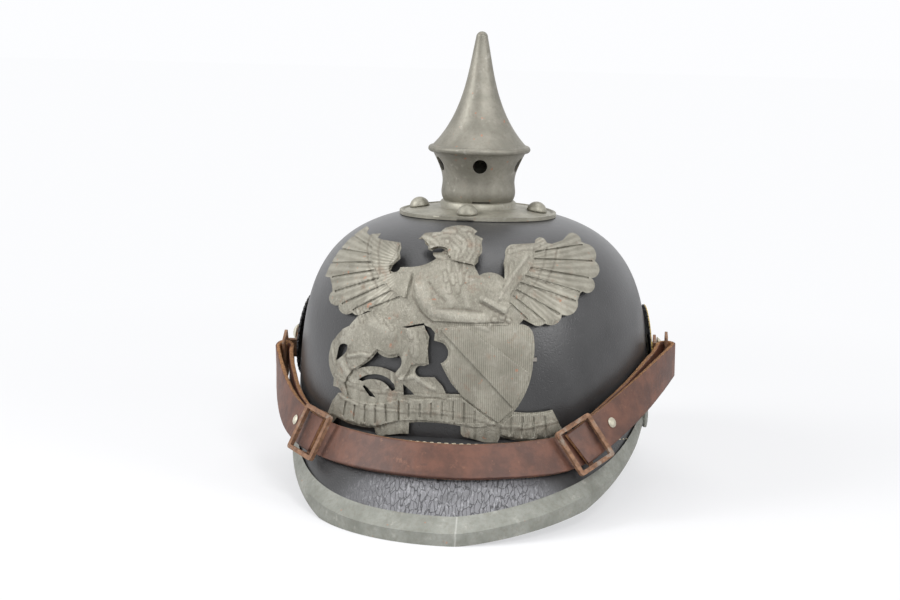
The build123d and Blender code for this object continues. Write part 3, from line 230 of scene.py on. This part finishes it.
# %% One recipe for all the grey fittings
def metal_base(finish, light, dark, rust=0.5):
    cloud = finish.noise(14, 4, 0.6)
    fine = finish.noise(1.6, 5, 0.65)
    tone = finish.mix(finish.ramp(cloud, 0.3, 0.7), dark, light)
    tone = finish.mix(finish.ramp(fine, 0.42, 0.72) * 0.35, tone, (0.16, 0.135, 0.105))
    brown = finish.ramp(finish.noise(9, 5, 0.7), 0.66 - 0.12 * rust, 0.84 - 0.1 * rust)
    tone = finish.mix(brown * (0.55 * rust), tone, (0.27, 0.13, 0.075))
    freckle = finish.ramp(finish.noise(3.1, 2, 0.4), 0.73 - 0.04 * rust, 0.80 - 0.04 * rust)
    tone = finish.mix(freckle * 0.6, tone, (0.42, 0.15, 0.07))
    rubbed = finish.ramp(finish.noise(5, 4, 0.6), 0.58, 0.75)
    tone = finish.mix(rubbed * 0.3, tone, (0.55, 0.53, 0.47))
    rough = 0.42 + fine * 0.16 + brown * 0.2 - rubbed * 0.06
    height = fine * 0.05 + cloud * 0.12 - freckle * 0.04
    return tone, rough, height


def fitting_metal(name, light, dark, rust, metal=0.45):
    finish = Finish(name)
    tone, rough, height = metal_base(finish, light, dark, rust)
    return finish.done(tone, rough, metal, height)


spike_finish = fitting_metal("spike metal", (0.275, 0.262, 0.22), (0.19, 0.182, 0.15), 0.5)
base_finish = fitting_metal("base metal", (0.37, 0.355, 0.295), (0.25, 0.24, 0.195), 0.4)
inner_finish = fitting_metal("inner steel", (0.30, 0.28, 0.25), (0.18, 0.165, 0.15), 0.7)
# The knob's pale tone is a painted highlight on its grey coat; the strap rivets take the same finish.
highlit_knob_finish = fitting_metal("knob metal", (0.66, 0.63, 0.52), (0.45, 0.42, 0.33), 0.5, 0.35)


# %% The folded edge, with the crease at its middle and a painted highlight along it
def edge_metal():
    finish = Finish("edge metal")
    tone, rough, height = metal_base(finish, (0.29, 0.297, 0.265), (0.20, 0.207, 0.18), 0.15)
    across = finish.axis("X")
    ahead = finish.ramp(finish.axis("Y"), -0.1, -0.12)
    crease = finish.band(across, 0.0035, 0.0003, 0.0006) * ahead
    rubbed = finish.band(across, 0.0035, 0.004, 0.05) * ahead * finish.ramp(finish.noise(5, 4), 0.3, 0.7)
    tone = finish.mix(rubbed * 0.4, tone, (0.46, 0.465, 0.43))
    # The pale line along the crease is a painted highlight; the crease itself sinks in the bump.
    tone = finish.mix(crease * 0.55, tone, (0.62, 0.62, 0.58))
    streak = finish.noise(20, 4, 0.6, (0.25, 0.25, 3))
    return finish.done(tone, rough + streak * 0.06, 0.4, height + streak * 0.1 - crease * 0.3)


edge_finish = edge_metal()


# %% Rusty steel of the buckles and lugs
def rusty_steel():
    finish = Finish("rusty steel")
    cloud = finish.noise(4, 5, 0.7)
    fine = finish.noise(0.8, 4, 0.7)
    tone = finish.mix(finish.ramp(cloud, 0.35, 0.65), (0.14, 0.075, 0.045), (0.29, 0.165, 0.10))
    tone = finish.mix(finish.ramp(fine, 0.5, 0.7) * 0.5, tone, (0.42, 0.19, 0.08))
    grey = finish.ramp(finish.noise(6, 3, 0.6), 0.56, 0.7)
    tone = finish.mix(grey * 0.5, tone, (0.33, 0.31, 0.27))
    return finish.done(tone, 0.62 + fine * 0.2, 0.25, fine * 0.12 + cloud * 0.1)


rusty_finish = rusty_steel()

# %% [markdown]
# ## The front plate
# The heraldic plate is thin sheet, stamped over a die and pierced with a saw. The solid has its
# outline, its openings and its steps. The shallow chasing is bump: barbs that fan out on the
# wings, hatching on the shield and a rough coat on the beast. All of it reads the place across
# (X) and up (Z), because the plate faces forward.

# %% Chasing of the plate
def plate_metal():
    finish = Finish("plate metal")
    tone, rough, height = metal_base(finish, (0.33, 0.315, 0.26), (0.215, 0.205, 0.165), 0.85)
    across, upward = finish.axis("X"), finish.axis("Z")

    def fan(centre_x, centre_z, count):
        """Fine barbs that run out from one point."""
        angle = (upward - centre_z).math("ARCTAN2", across - centre_x)
        return (angle * count).math("SINE", 0) * 0.5 + 0.5

    wing_left = finish.ramp(across, -0.0335, -0.0375) * finish.ramp(upward, 0.1015, 0.1045)
    wing_right = finish.ramp(across, 0.032, 0.036) * finish.ramp(upward, 0.0985, 0.1015)
    wander = finish.noise(6, 3) * 0.25
    barbs = fan(-0.024, 0.1245, 78) * wing_left + fan(0.016, 0.126, 90) * wing_right
    wings = wing_left + wing_right
    rows = ((across * 900 + upward * 120 + wander * 9).math("SINE", 0) * 0.5 + 0.5) * wings
    shield = finish.band(across, 0.019, 0.0235, 0.0006) * finish.band(upward, 0.074, 0.0245, 0.0006)
    hatch = ((across * 6200).math("SINE", 0) * 0.5 + 0.5) * shield
    coat_area = 1 - finish.ramp(shield + wing_left + wing_right, 0.2, 0.6)
    hair = finish.ramp(finish.noise(1.7, 3, 0.6, (1.6, 1, 0.7), 1.6), 0.3, 0.7) * coat_area
    ribbon = finish.ramp(upward, 0.0605, 0.0585) * coat_area
    fold = ((across * 1250).math("SINE", 0) * 0.5 + 0.5) * ribbon
    worn = finish.ramp(barbs + rows * 0.4 + hatch + hair * coat_area + fold, 0.2, 1.1)
    raised = finish.node("ShaderNodeAttribute", {"attribute_name": "raised"}, None, "Fac")
    grime_and_shade = finish.node("ShaderNodeAttribute", {"attribute_name": "grime_and_shade"}, None, "Fac")
    tone = finish.mix(worn * 0.16, tone, (0.46, 0.44, 0.37))
    # Raised strokes are painted lighter: partly rubbed metal, partly a painted highlight.
    tone = finish.mix(finish.ramp(raised, 0.1, 0.6) * 0.36, tone, (0.50, 0.48, 0.41))
    # Edges of narrow raised strokes and sunken lines are painted dark: partly dirt in the hollows, partly
    # painted shade.
    tone = finish.mix(finish.ramp(grime_and_shade, 0.1, 1.0) * 0.5, tone, (0.10, 0.08, 0.058))
    tone = finish.mix((1 - worn) * 0.2, tone, (0.11, 0.095, 0.07))
    height = height + barbs * 0.16 + rows * 0.1 + hatch * 0.12 + hair * 0.13 + fold * 0.08
    return finish.done(tone, rough, 0.42, height)


plate_finish = plate_metal()


# %% [markdown]
# ## Strap, band and lining
# The chin strap has a smooth, reddish outer face and a rough, ochre flesh side. The band inside
# the rim and the fingered lining are thin undyed leather, darkened by use.

# %% Strap leather: smooth outside, rough inside
def strap_leather():
    finish = Finish("strap leather")
    facing = finish.node("ShaderNodeVectorMath", {"operation": "DOT_PRODUCT"}, {
        0: finish.node("ShaderNodeNewGeometry", output="Normal"),
        1: finish.node("ShaderNodeVectorMath", {"operation": "NORMALIZE"},
                       {0: finish.stretched((1, 1, 0))}),
    }, "Value")
    outer = finish.ramp(facing, 0.15, 0.45)
    cloud = finish.noise(11, 4, 0.6)
    fine = finish.noise(1.1, 5, 0.7)
    tone = finish.mix(finish.ramp(cloud, 0.35, 0.68), (0.072, 0.029, 0.018), (0.14, 0.056, 0.033))
    dark = finish.ramp(finish.noise(5, 5, 0.7, (1, 1, 2)), 0.56, 0.72)
    tone = finish.mix(dark * 0.55, tone, (0.07, 0.032, 0.024))
    worn = finish.ramp(finish.noise(7, 5, 0.7), 0.6, 0.76)
    tone = finish.mix(worn * 0.5, tone, (0.33, 0.15, 0.08))
    flesh = finish.mix(finish.ramp(fine, 0.35, 0.65), (0.20, 0.095, 0.042), (0.38, 0.20, 0.09))
    tone = finish.mix(outer, flesh, tone)
    rough = 0.86 - outer * 0.4 + fine * 0.1
    return finish.done(tone, rough, height=fine * 0.12 + cloud * 0.2)


strap_finish = strap_leather()


def lining_leather():
    finish = Finish("lining leather")
    cloud = finish.noise(24, 4, 0.6)
    fine = finish.noise(0.9, 4, 0.7)
    tone = finish.mix(finish.ramp(cloud, 0.3, 0.7), (0.21, 0.13, 0.075), (0.37, 0.25, 0.15))
    tone = finish.mix(finish.ramp(finish.noise(5, 5, 0.7), 0.58, 0.78) * 0.5, tone, (0.11, 0.065, 0.04))
    return finish.done(tone, 0.72 + fine * 0.15, height=fine * 0.08 + cloud * 0.2)


lining_finish = lining_leather()


def thread():
    finish = Finish("waxed thread")
    fine = finish.noise(0.5, 3)
    tone = finish.mix(finish.ramp(fine, 0.3, 0.7), (0.42, 0.37, 0.26), (0.68, 0.62, 0.47))
    return finish.done(tone, 0.7 + fine * 0.1, height=fine * 0.1)


thread_finish = thread()


# %% [markdown]
# ## Painted rosettes
# Each rosette is a fluted metal disc in three painted rings, with a black back. The rings are
# chosen by the distance from the post, and the back by the side of the sheet a point lies on.

# %% Ring paint
def ring_paint(name, centre, axis, rings, back=(0.02, 0.02, 0.021)):
    finish = Finish(name)
    off = finish.node("ShaderNodeVectorMath", {"operation": "SUBTRACT"}, {0: finish.place, 1: centre})
    rise = finish.node("ShaderNodeVectorMath", {"operation": "DOT_PRODUCT"}, {0: off, 1: axis}, "Value")
    length = finish.node("ShaderNodeVectorMath", {"operation": "LENGTH"}, {0: off}, "Value")
    wobble = finish.noise(3, 2) * 0.0006
    inner, middle, outer = rings
    tone = finish.mix(finish.ramp(length + wobble, 0.0088, 0.0094), inner, middle)
    tone = finish.mix(finish.ramp(length + wobble, 0.0158, 0.0164), tone, outer)
    sheet = rise + (length - 0.0075).math("MAXIMUM", 0) * 0.0886
    front = finish.ramp(sheet, 0.0020, 0.0024)
    tone = finish.mix(front, back, tone)
    chips = finish.ramp(finish.noise(2.2, 5, 0.7), 0.6, 0.72)
    tone = finish.mix(chips * 0.7, tone, (0.17, 0.12, 0.08))
    dirt = finish.noise(5, 4, 0.7)
    tone = finish.mix(finish.ramp(dirt, 0.5, 0.8) * 0.4, tone, (0.12, 0.09, 0.05))
    return finish.done(tone, 0.45 + dirt * 0.2, 0.0, dirt * 0.1 - chips * 0.05)


YELLOW, RED = (0.62, 0.43, 0.10), (0.45, 0.045, 0.03)
BLACK, WHITE = (0.025, 0.025, 0.026), (0.60, 0.58, 0.52)
LEFT_POST, LEFT_OUTWARD = (0.0932514, 0.015, 0.068), (0.98975, 0.123186, 0.072244)
RIGHT_POST, RIGHT_OUTWARD = (-0.0932514, 0.015, 0.068), (-0.98975, 0.123186, 0.072244)
left_paint = ring_paint("left rosette paint", LEFT_POST, LEFT_OUTWARD, (YELLOW, RED, YELLOW))
right_paint = ring_paint("right rosette paint", RIGHT_POST, RIGHT_OUTWARD, (RED, WHITE, BLACK))

# %% [markdown]
# ## Smooth copies of the solids
# A solid arrives as loose triangles, which shine flat by flat. A copy with its corners merged
# can be shaded smooth, and stays sharp wherever two faces meet at more than a set angle.

# %% Dress a solid
def dressed(node, finish, sharp=32, shape=None):
    """Smooth copy of one solid, in its place, with its finish."""
    mesh = nodes[node].data.copy()
    work = bmesh.new()
    work.from_mesh(mesh)
    bmesh.ops.remove_doubles(work, verts=work.verts, dist=0.002 * MM)
    if shape:
        shape(work)
    for face in work.faces:
        face.smooth = True
    work.to_mesh(mesh)
    work.free()
    mesh.set_sharp_from_angle(angle=math.radians(sharp))
    mesh.materials.clear()
    mesh.materials.append(finish)
    piece = bpy.data.objects.new(node + "_dressed", mesh)
    bpy.context.collection.objects.link(piece)
    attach(piece, body_of[node])
    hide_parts(node)
    return piece


# %% [markdown]
# ## Relief of the plate
# A die leaves rounded muscles, curls and ridges in the sheet. The copy of the plate is first cut
# into a fine grid, because only a corner can move. Then every stroke of a sketch lifts or sinks
# the corners near its line, the most at the line itself. The sketch is drawn as seen from the
# front, in half millimetres across and nearly the same down.

# %% The sketch: half width in mm, height in mm, then points
STROKES = [
    # breast and the arm that holds the sword
    (4.2, 0.8, (423, 288), (427, 299), (431, 306)),
    (3.6, 0.8, (436, 313), (458, 318), (486, 319)),
    (4.0, 0.5, (447, 290), (455, 303)),
    (3.0, 0.45, (466, 292), (470, 306)),
    (0.7, -0.3, (413, 283), (415, 300), (424, 315), (437, 326)),
    (0.6, -0.3, (431, 284), (441, 297), (448, 303)),
    (0.7, -0.28, (437, 311), (460, 310), (484, 312)),
    # blade and guard
    (2.0, 0.75, (501, 297), (513, 274), (524, 257)),
    (0.45, -0.3, (503, 295), (515, 273), (526, 257)),
    (2.4, 0.9, (484, 298), (506, 310)),
    (0.5, -0.35, (482, 303), (504, 316)),
    # fingers
    (1.5, 0.9, (496, 320), (497, 321)),
    (1.4, 0.9, (503, 317), (504, 318)),
    (1.4, 0.8, (491, 325), (492, 326)),
    (1.3, 0.7, (509, 321), (510, 322)),
    (2.2, 0.6, (478, 325), (490, 330)),
    # beak, brow and eye
    (0.8, 0.55, (421, 239), (429, 240), (436, 245)),
    (0.9, 0.6, (431, 236), (441, 232), (452, 232)),
    (0.8, 0.6, (428, 249), (437, 247), (446, 250)),
    (0.7, 0.5, (434, 257), (442, 258), (448, 256)),
    (1.0, 0.7, (445, 241), (446, 242)),
    (0.5, -0.35, (440, 240), (447, 238), (452, 242)),
    # curls of the head and the mane
    (0.8, 0.5, (455, 236), (462, 240), (464, 248), (460, 255)),
    (0.8, 0.5, (453, 246), (458, 250), (456, 258)),
    (0.8, 0.5, (466, 233), (472, 240), (472, 250), (467, 259)),
    (0.7, 0.45, (459, 230), (468, 229), (474, 233)),
    (0.8, 0.5, (449, 262), (450, 271)),
    (0.8, 0.5, (456, 261), (458, 270)),
    (0.8, 0.5, (464, 262), (465, 271)),
    (0.8, 0.5, (446, 273), (448, 281)),
    (0.8, 0.5, (453, 274), (455, 283)),
    (0.8, 0.5, (461, 274), (462, 283)),
    (0.8, 0.5, (468, 273), (468, 281)),
    (0.7, 0.4, (450, 285), (452, 292)),
    (0.7, 0.4, (459, 285), (460, 292)),
    # haunch, legs and coat of the beast
    (5.5, 0.8, (355, 336), (350, 348), (347, 358)),
    (2.0, 0.6, (345, 366), (342, 380), (350, 394), (358, 404)),
    (1.0, 0.45, (333, 352), (331, 368), (335, 386)),
    (0.6, -0.3, (352, 362), (347, 376), (354, 392)),
    (5.0, 0.45, (376, 333), (396, 341)),
    (3.4, 0.7, (414, 335), (420, 348), (420, 360)),
    (2.0, 0.7, (411, 362), (408, 375), (404, 386)),
    (1.7, 0.7, (406, 390), (420, 386), (432, 394), (440, 398)),
    (0.7, 0.45, (413, 333), (416, 343)),
    (0.7, 0.45, (420, 336), (422, 347)),
    (0.7, 0.45, (416, 350), (417, 359)),
    (0.7, 0.4, (358, 322), (364, 333)),
    (0.7, 0.4, (366, 320), (373, 329)),
    (0.7, 0.4, (350, 328), (354, 340)),
    (0.7, 0.4, (378, 322), (386, 330)),
    (0.7, 0.4, (342, 338), (344, 350)),
    (0.7, 0.4, (390, 328), (397, 336)),
    # tail
    (1.3, 0.6, (350, 374), (366, 368), (384, 371), (397, 383), (399, 397), (390, 406)),
    (1.1, 0.5, (356, 386), (366, 383), (376, 390), (384, 398)),
    # wing at the left
    (0.9, 0.45, (367, 230), (378, 238), (392, 243), (399, 247), (397, 258), (391, 270)),
    (0.5, -0.32, (364, 240), (362, 256), (366, 274), (378, 296)),
    (0.5, -0.3, (376, 243), (375, 258), (380, 280)),
    # wing at the right
    (0.9, 0.4, (507, 251), (520, 247), (534, 247)),
    (0.6, 0.35, (510, 262), (509, 276), (505, 288)),
    (0.5, -0.32, (543, 249), (541, 265), (535, 282), (520, 300)),
    (0.5, -0.3, (553, 250), (551, 266), (544, 284)),
    # borders of the banner
    (0.5, 0.35, (337, 399), (352, 405), (372, 408), (405, 406), (452, 405)),
    (0.5, 0.35, (334, 414), (346, 422), (366, 427), (400, 426), (440, 422), (478, 426), (500, 434)),
    (0.5, 0.35, (522, 416), (540, 416), (555, 412)),
    (0.5, 0.35, (506, 436), (530, 439), (560, 434)),
]


# %% Strokes pressed into the plate
GRID = 1.0           # squares of the cut, in mm as the sizes below
LEAST_WIDTH = 1.1    # a narrower stroke would fall between the corners
NARROW = 1.6         # a stroke under this half width gets a dark edge
PLATE_ACROSS, PLATE_UP = (-72, 62), (45, 145)
SKETCH_ORIGIN, SKETCH_SPOT = (453.3, 260.4), (-5.5, 127.3)
SKETCH_PITCH = (0.51, 0.45)
FORWARD = -0.15


def sketch_place(point):
    """Place across and up the plate of a point of the sketch."""
    across = SKETCH_SPOT[0] + SKETCH_PITCH[0] * (point[0] - SKETCH_ORIGIN[0])
    upward = SKETCH_SPOT[1] - SKETCH_PITCH[1] * (point[1] - SKETCH_ORIGIN[1])
    return Vector((across, upward)) * MM


def distance(here, start, run):
    """From a place to a straight run of a stroke."""
    off = here - start
    share = min(1, max(0, off.dot(run) / run.length_squared))
    return (off - run * share).length


def cut_grid(work, pitch):
    """Cut the plate's front into squares."""
    for axis, (low, high) in ((Vector((1, 0, 0)), PLATE_ACROSS), (Vector((0, 0, 1)), PLATE_UP)):
        place = low * MM
        while place < high * MM:
            front = [face for face in work.faces if face.normal.y < FORWARD]
            around = {part for face in front for part in (*face.verts, *face.edges)}
            bmesh.ops.bisect_plane(work, geom=front + list(around), dist=0.02 * MM,
                                   plane_co=axis * place, plane_no=axis)
            place += pitch
    work.normal_update()


def pressed(work):
    """Lift and sink the plate's front along the strokes of the sketch."""
    cut_grid(work, GRID * MM)
    lines = []
    for wide, high, *points in STROKES:
        spots = [sketch_place(point) for point in points]
        runs = [(start, end - start) for start, end in zip(spots, spots[1:])]
        lines.append((runs, max(wide, LEAST_WIDTH) * MM, high * MM))
    raised = work.verts.layers.float.new("raised")
    grime_and_shade = work.verts.layers.float.new("grime_and_shade")
    front = {corner for face in work.faces if face.normal.y < FORWARD for corner in face.verts}
    for corner in front:
        here = Vector((corner.co.x, corner.co.z))
        up = down = dirt = 0
        for runs, wide, high in lines:
            away = min(distance(here, start, run) for start, run in runs) / wide
            near = max(0, 1 - away * away)
            up, down = max(up, high * near * near), min(down, high * near * near)
            # The dark along narrow strokes is partly dirt in the hollows and partly painted shade.
            if wide < NARROW * MM:
                dirt = max(dirt, 1 - abs(away - 1.1) / 0.5 if high > 0 else 1 - away)
        outward = Vector((corner.co.x, corner.co.y, 0)).normalized()
        corner.co += outward * (up + down)
        corner[raised] = up / MM
        corner[grime_and_shade] = dirt


print("strokes:", len(STROKES))

# %% Dress every rigid piece
FINISHES = {
    "skull": skull_finish, "neck_guard": skull_finish, "front_visor": brim_finish,
    "visor_trim": edge_finish, "trim_tabs": edge_finish, "rear_spine": edge_finish,
    "spine_rivets": base_finish, "vent_slider": base_finish,
    "spike_base": base_finish, "base_studs": base_finish, "stud_washers": inner_finish,
    "spike_neck": spike_finish, "spike_cone": spike_finish,
    "front_plate": plate_finish, "plate_loops": inner_finish, "plate_wedges": lining_finish,
    "post_left": highlit_knob_finish, "post_right": highlit_knob_finish, "post_washers": inner_finish,
    "cockade_left": left_paint, "cockade_right": right_paint,
    "lug_left": rusty_finish, "lug_right": rusty_finish,
    "buckle_left": rusty_finish, "buckle_right": rusty_finish, "strap_rivets": highlit_knob_finish,
}
for node, finish in FINISHES.items():
    dressed(node, finish, shape=pressed if node == "front_plate" else None)
print("dressed solids:", len(FINISHES))


# %% [markdown]
# ## Soft leather
# Old straps and linings are never quite flat. Their copies get more corners, which then move a
# little in and out along their normals, by two sizes of noise.

# %% Give leather its unevenness
def uneven(work, size, amount, cuts):
    bmesh.ops.subdivide_edges(work, edges=work.edges, cuts=cuts, use_grid_fill=True)
    work.normal_update()
    for corner in work.verts:
        wave = noise.noise(corner.co / (size * MM)) + 0.5 * noise.noise(corner.co / (size * 0.23 * MM))
        corner.co += corner.normal * (wave * amount * MM)


def worn_strap(work):
    long_edges = [edge for edge in work.edges if edge.calc_length() > 2.5 * MM]
    bmesh.ops.subdivide_edges(work, edges=long_edges, cuts=3, use_grid_fill=True)
    bmesh.ops.triangulate(work, faces=work.faces)
    uneven(work, 9, 0.06, 1)


strap = dressed("chin_strap", strap_finish, 50, worn_strap)
band = dressed("sweatband", lining_finish, 60, lambda work: uneven(work, 12, 0.08, 1))
lining = dressed("liner", lining_finish, 60, lambda work: uneven(work, 16, 0.12, 1))
for piece in (strap, band, lining):
    print(piece.name, len(piece.data.polygons), "faces")

# %% [markdown]
# ## Stitches
# Waxed thread holds the brims to the skull. A stitch is a small stretched ball, half sunk in the
# leather, and one row follows the joint at each end of the helmet.

# %% Stitch rows beside the brim joints
SKULL_HALF_WIDTH, SKULL_HALF_LENGTH = 95 * MM, 108 * MM
BROW, SIDE_DROP, SLOPE = 41 * MM, 8 * MM, math.radians(36.8)
STITCH_PITCH, STITCH_OUT = 3.7 * MM, 3.6 * MM
STITCH_REACH, LEAST_COSINE = math.radians(66), 0.45
STITCH_LIFT, STITCH_SHAPE = 0.1 * MM, (1.25, 0.42, 0.34, 1)
STEP = 0.01
fall = Vector((0, -math.cos(SLOPE), -math.sin(SLOPE)))


def joint_point(turn):
    level = Vector((SKULL_HALF_WIDTH * math.sin(turn), -SKULL_HALF_LENGTH * math.cos(turn), 0))
    level.z = BROW - SIDE_DROP * (1 - math.cos(turn))
    return level + fall * (STITCH_OUT / max(math.cos(turn), LEAST_COSINE))


def stitch_row(name, end):
    work = bmesh.new()
    turn = -STITCH_REACH
    while turn < STITCH_REACH:
        step = joint_point(turn + STEP) - joint_point(turn)
        ahead = step.normalized()
        outward = ahead.cross(fall).normalized()
        side = outward.cross(ahead)
        spot = joint_point(turn) + outward * STITCH_LIFT
        spot.y *= end
        turned = Matrix((ahead, side, outward)).transposed().to_4x4()
        if end < 0:
            turned = Matrix.Scale(-1, 4, (0, 1, 0)) @ turned
        shape = Matrix.Translation(spot) @ turned @ Matrix.Diagonal(STITCH_SHAPE)
        bmesh.ops.create_uvsphere(work, u_segments=8, v_segments=6, radius=MM, matrix=shape)
        turn += STITCH_PITCH / step.length * STEP
    bmesh.ops.recalc_face_normals(work, faces=work.faces)
    for face in work.faces:
        face.smooth = True
    mesh = bpy.data.meshes.new(name)
    work.to_mesh(mesh)
    work.free()
    mesh.materials.append(thread_finish)
    row = bpy.data.objects.new(name, mesh)
    bpy.context.collection.objects.link(row)
    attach(row, "shell")
    return row


front_row = stitch_row("front_stitches", 1)
rear_row = stitch_row("rear_stitches", -1)
print("stitch faces:", len(front_row.data.polygons), len(rear_row.data.polygons))

# %% [markdown]
# ## Camera, floor and light
# The photograph was taken from about a metre away, a little above the helmet and to its left. The
# light is a white studio: a pale floor, a white surround and large soft lamps.

# %% Camera
DISTANCE, CAMERA_HEIGHT = 1.0, 0.255
YAW, PITCH, ROLL = math.radians(4.6), math.radians(9.2), math.radians(1.3)
right = Vector((math.cos(YAW), math.sin(YAW), 0))
ahead = Vector((-math.sin(YAW) * math.cos(PITCH), math.cos(YAW) * math.cos(PITCH), -math.sin(PITCH)))
above = right.cross(ahead)
level = right * math.cos(ROLL) + above * math.sin(ROLL)
upright = above * math.cos(ROLL) - right * math.sin(ROLL)
eye = Vector((DISTANCE * math.sin(YAW), -DISTANCE * math.cos(YAW), CAMERA_HEIGHT)) - level * (14 * MM)
camera_data = bpy.data.cameras.new("camera")
camera_data.lens = 74
camera_data.sensor_width = 36
camera = bpy.data.objects.new("camera", camera_data)
camera.matrix_world = Matrix.Translation(eye) @ Matrix((level, upright, -ahead)).transposed().to_4x4()
bpy.context.collection.objects.link(camera)
bpy.context.scene.camera = camera
print("camera at", tuple(round(part, 3) for part in eye))


# %% Floor and surround
def floor_paint():
    finish = Finish("floor")
    paths = finish.tree.nodes.new("ShaderNodeLightPath")
    seen = Value(finish, paths.outputs["Is Camera Ray"])
    plain = finish.node("ShaderNodeBsdfDiffuse", None, {"Color": (0.86, 0.86, 0.87, 1)})
    glow = finish.node("ShaderNodeEmission", None, {"Color": (0.97, 0.975, 0.99, 1), "Strength": 1.0})
    reach = finish.node("ShaderNodeVectorMath", {"operation": "LENGTH"}, {0: finish.place}, "Value")
    far = finish.ramp(reach, 0.15, 0.6)
    mixed = finish.node("ShaderNodeMixShader", None, {0: seen * (0.6 + far * 0.4), 1: plain, 2: glow})
    finish.node("ShaderNodeOutputMaterial", None, {"Surface": mixed})
    return finish.material


ground = bmesh.new()
bmesh.ops.create_grid(ground, x_segments=1, y_segments=1, size=6)
ground_mesh = bpy.data.meshes.new("floor")
ground.to_mesh(ground_mesh)
ground.free()
ground_mesh.materials.append(floor_paint())
floor = bpy.data.objects.new("floor", ground_mesh)
bpy.context.collection.objects.link(floor)

world = bpy.data.worlds.new("white room")
bpy.context.scene.world = world
world.use_nodes = True
tree = world.node_tree
tree.nodes.clear()
paths = tree.nodes.new("ShaderNodeLightPath")
direct = tree.nodes.new("ShaderNodeMath")
direct.operation = "MAXIMUM"
bounced = tree.nodes.new("ShaderNodeMath")
bounced.operation = "MAXIMUM"
tree.links.new(paths.outputs["Is Glossy Ray"], bounced.inputs[0])
tree.links.new(paths.outputs["Is Transmission Ray"], bounced.inputs[1])
tree.links.new(paths.outputs["Is Camera Ray"], direct.inputs[0])
tree.links.new(bounced.outputs[0], direct.inputs[1])
strength = tree.nodes.new("ShaderNodeMapRange")
strength.inputs["To Min"].default_value = 0.36
strength.inputs["To Max"].default_value = 1.0
tree.links.new(direct.outputs[0], strength.inputs["Value"])
surround = tree.nodes.new("ShaderNodeBackground")
surround.inputs["Color"].default_value = (0.98, 0.985, 1.0, 1)
tree.links.new(strength.outputs["Result"], surround.inputs["Strength"])
world_end = tree.nodes.new("ShaderNodeOutputWorld")
tree.links.new(surround.outputs[0], world_end.inputs["Surface"])
print("surround nodes:", len(tree.nodes))


# %% Lamps
def soft_lamp(name, spot, size, power, aim=(0, 0, 0.11)):
    data = bpy.data.lights.new(name, "AREA")
    data.shape = "RECTANGLE"
    data.size, data.size_y = size
    data.energy = power
    lamp = bpy.data.objects.new(name, data)
    lamp.location = spot
    lamp.rotation_euler = (Vector(aim) - Vector(spot)).to_track_quat("-Z", "Y").to_euler()
    bpy.context.collection.objects.link(lamp)
    return lamp


soft_lamp("left lamp", (-1.2, -0.5, 0.9), (0.5, 0.7), 13)
soft_lamp("right lamp", (1.2, -0.7, 0.7), (0.4, 0.6), 6)
soft_lamp("front lamp", (0.45, -1.0, 1.0), (0.3, 0.3), 6.5)
soft_lamp("top lamp", (0.0, 0.2, 1.5), (1.2, 0.8), 7)
bpy.context.scene.view_settings.view_transform = "Standard"
print("lamps: 4")
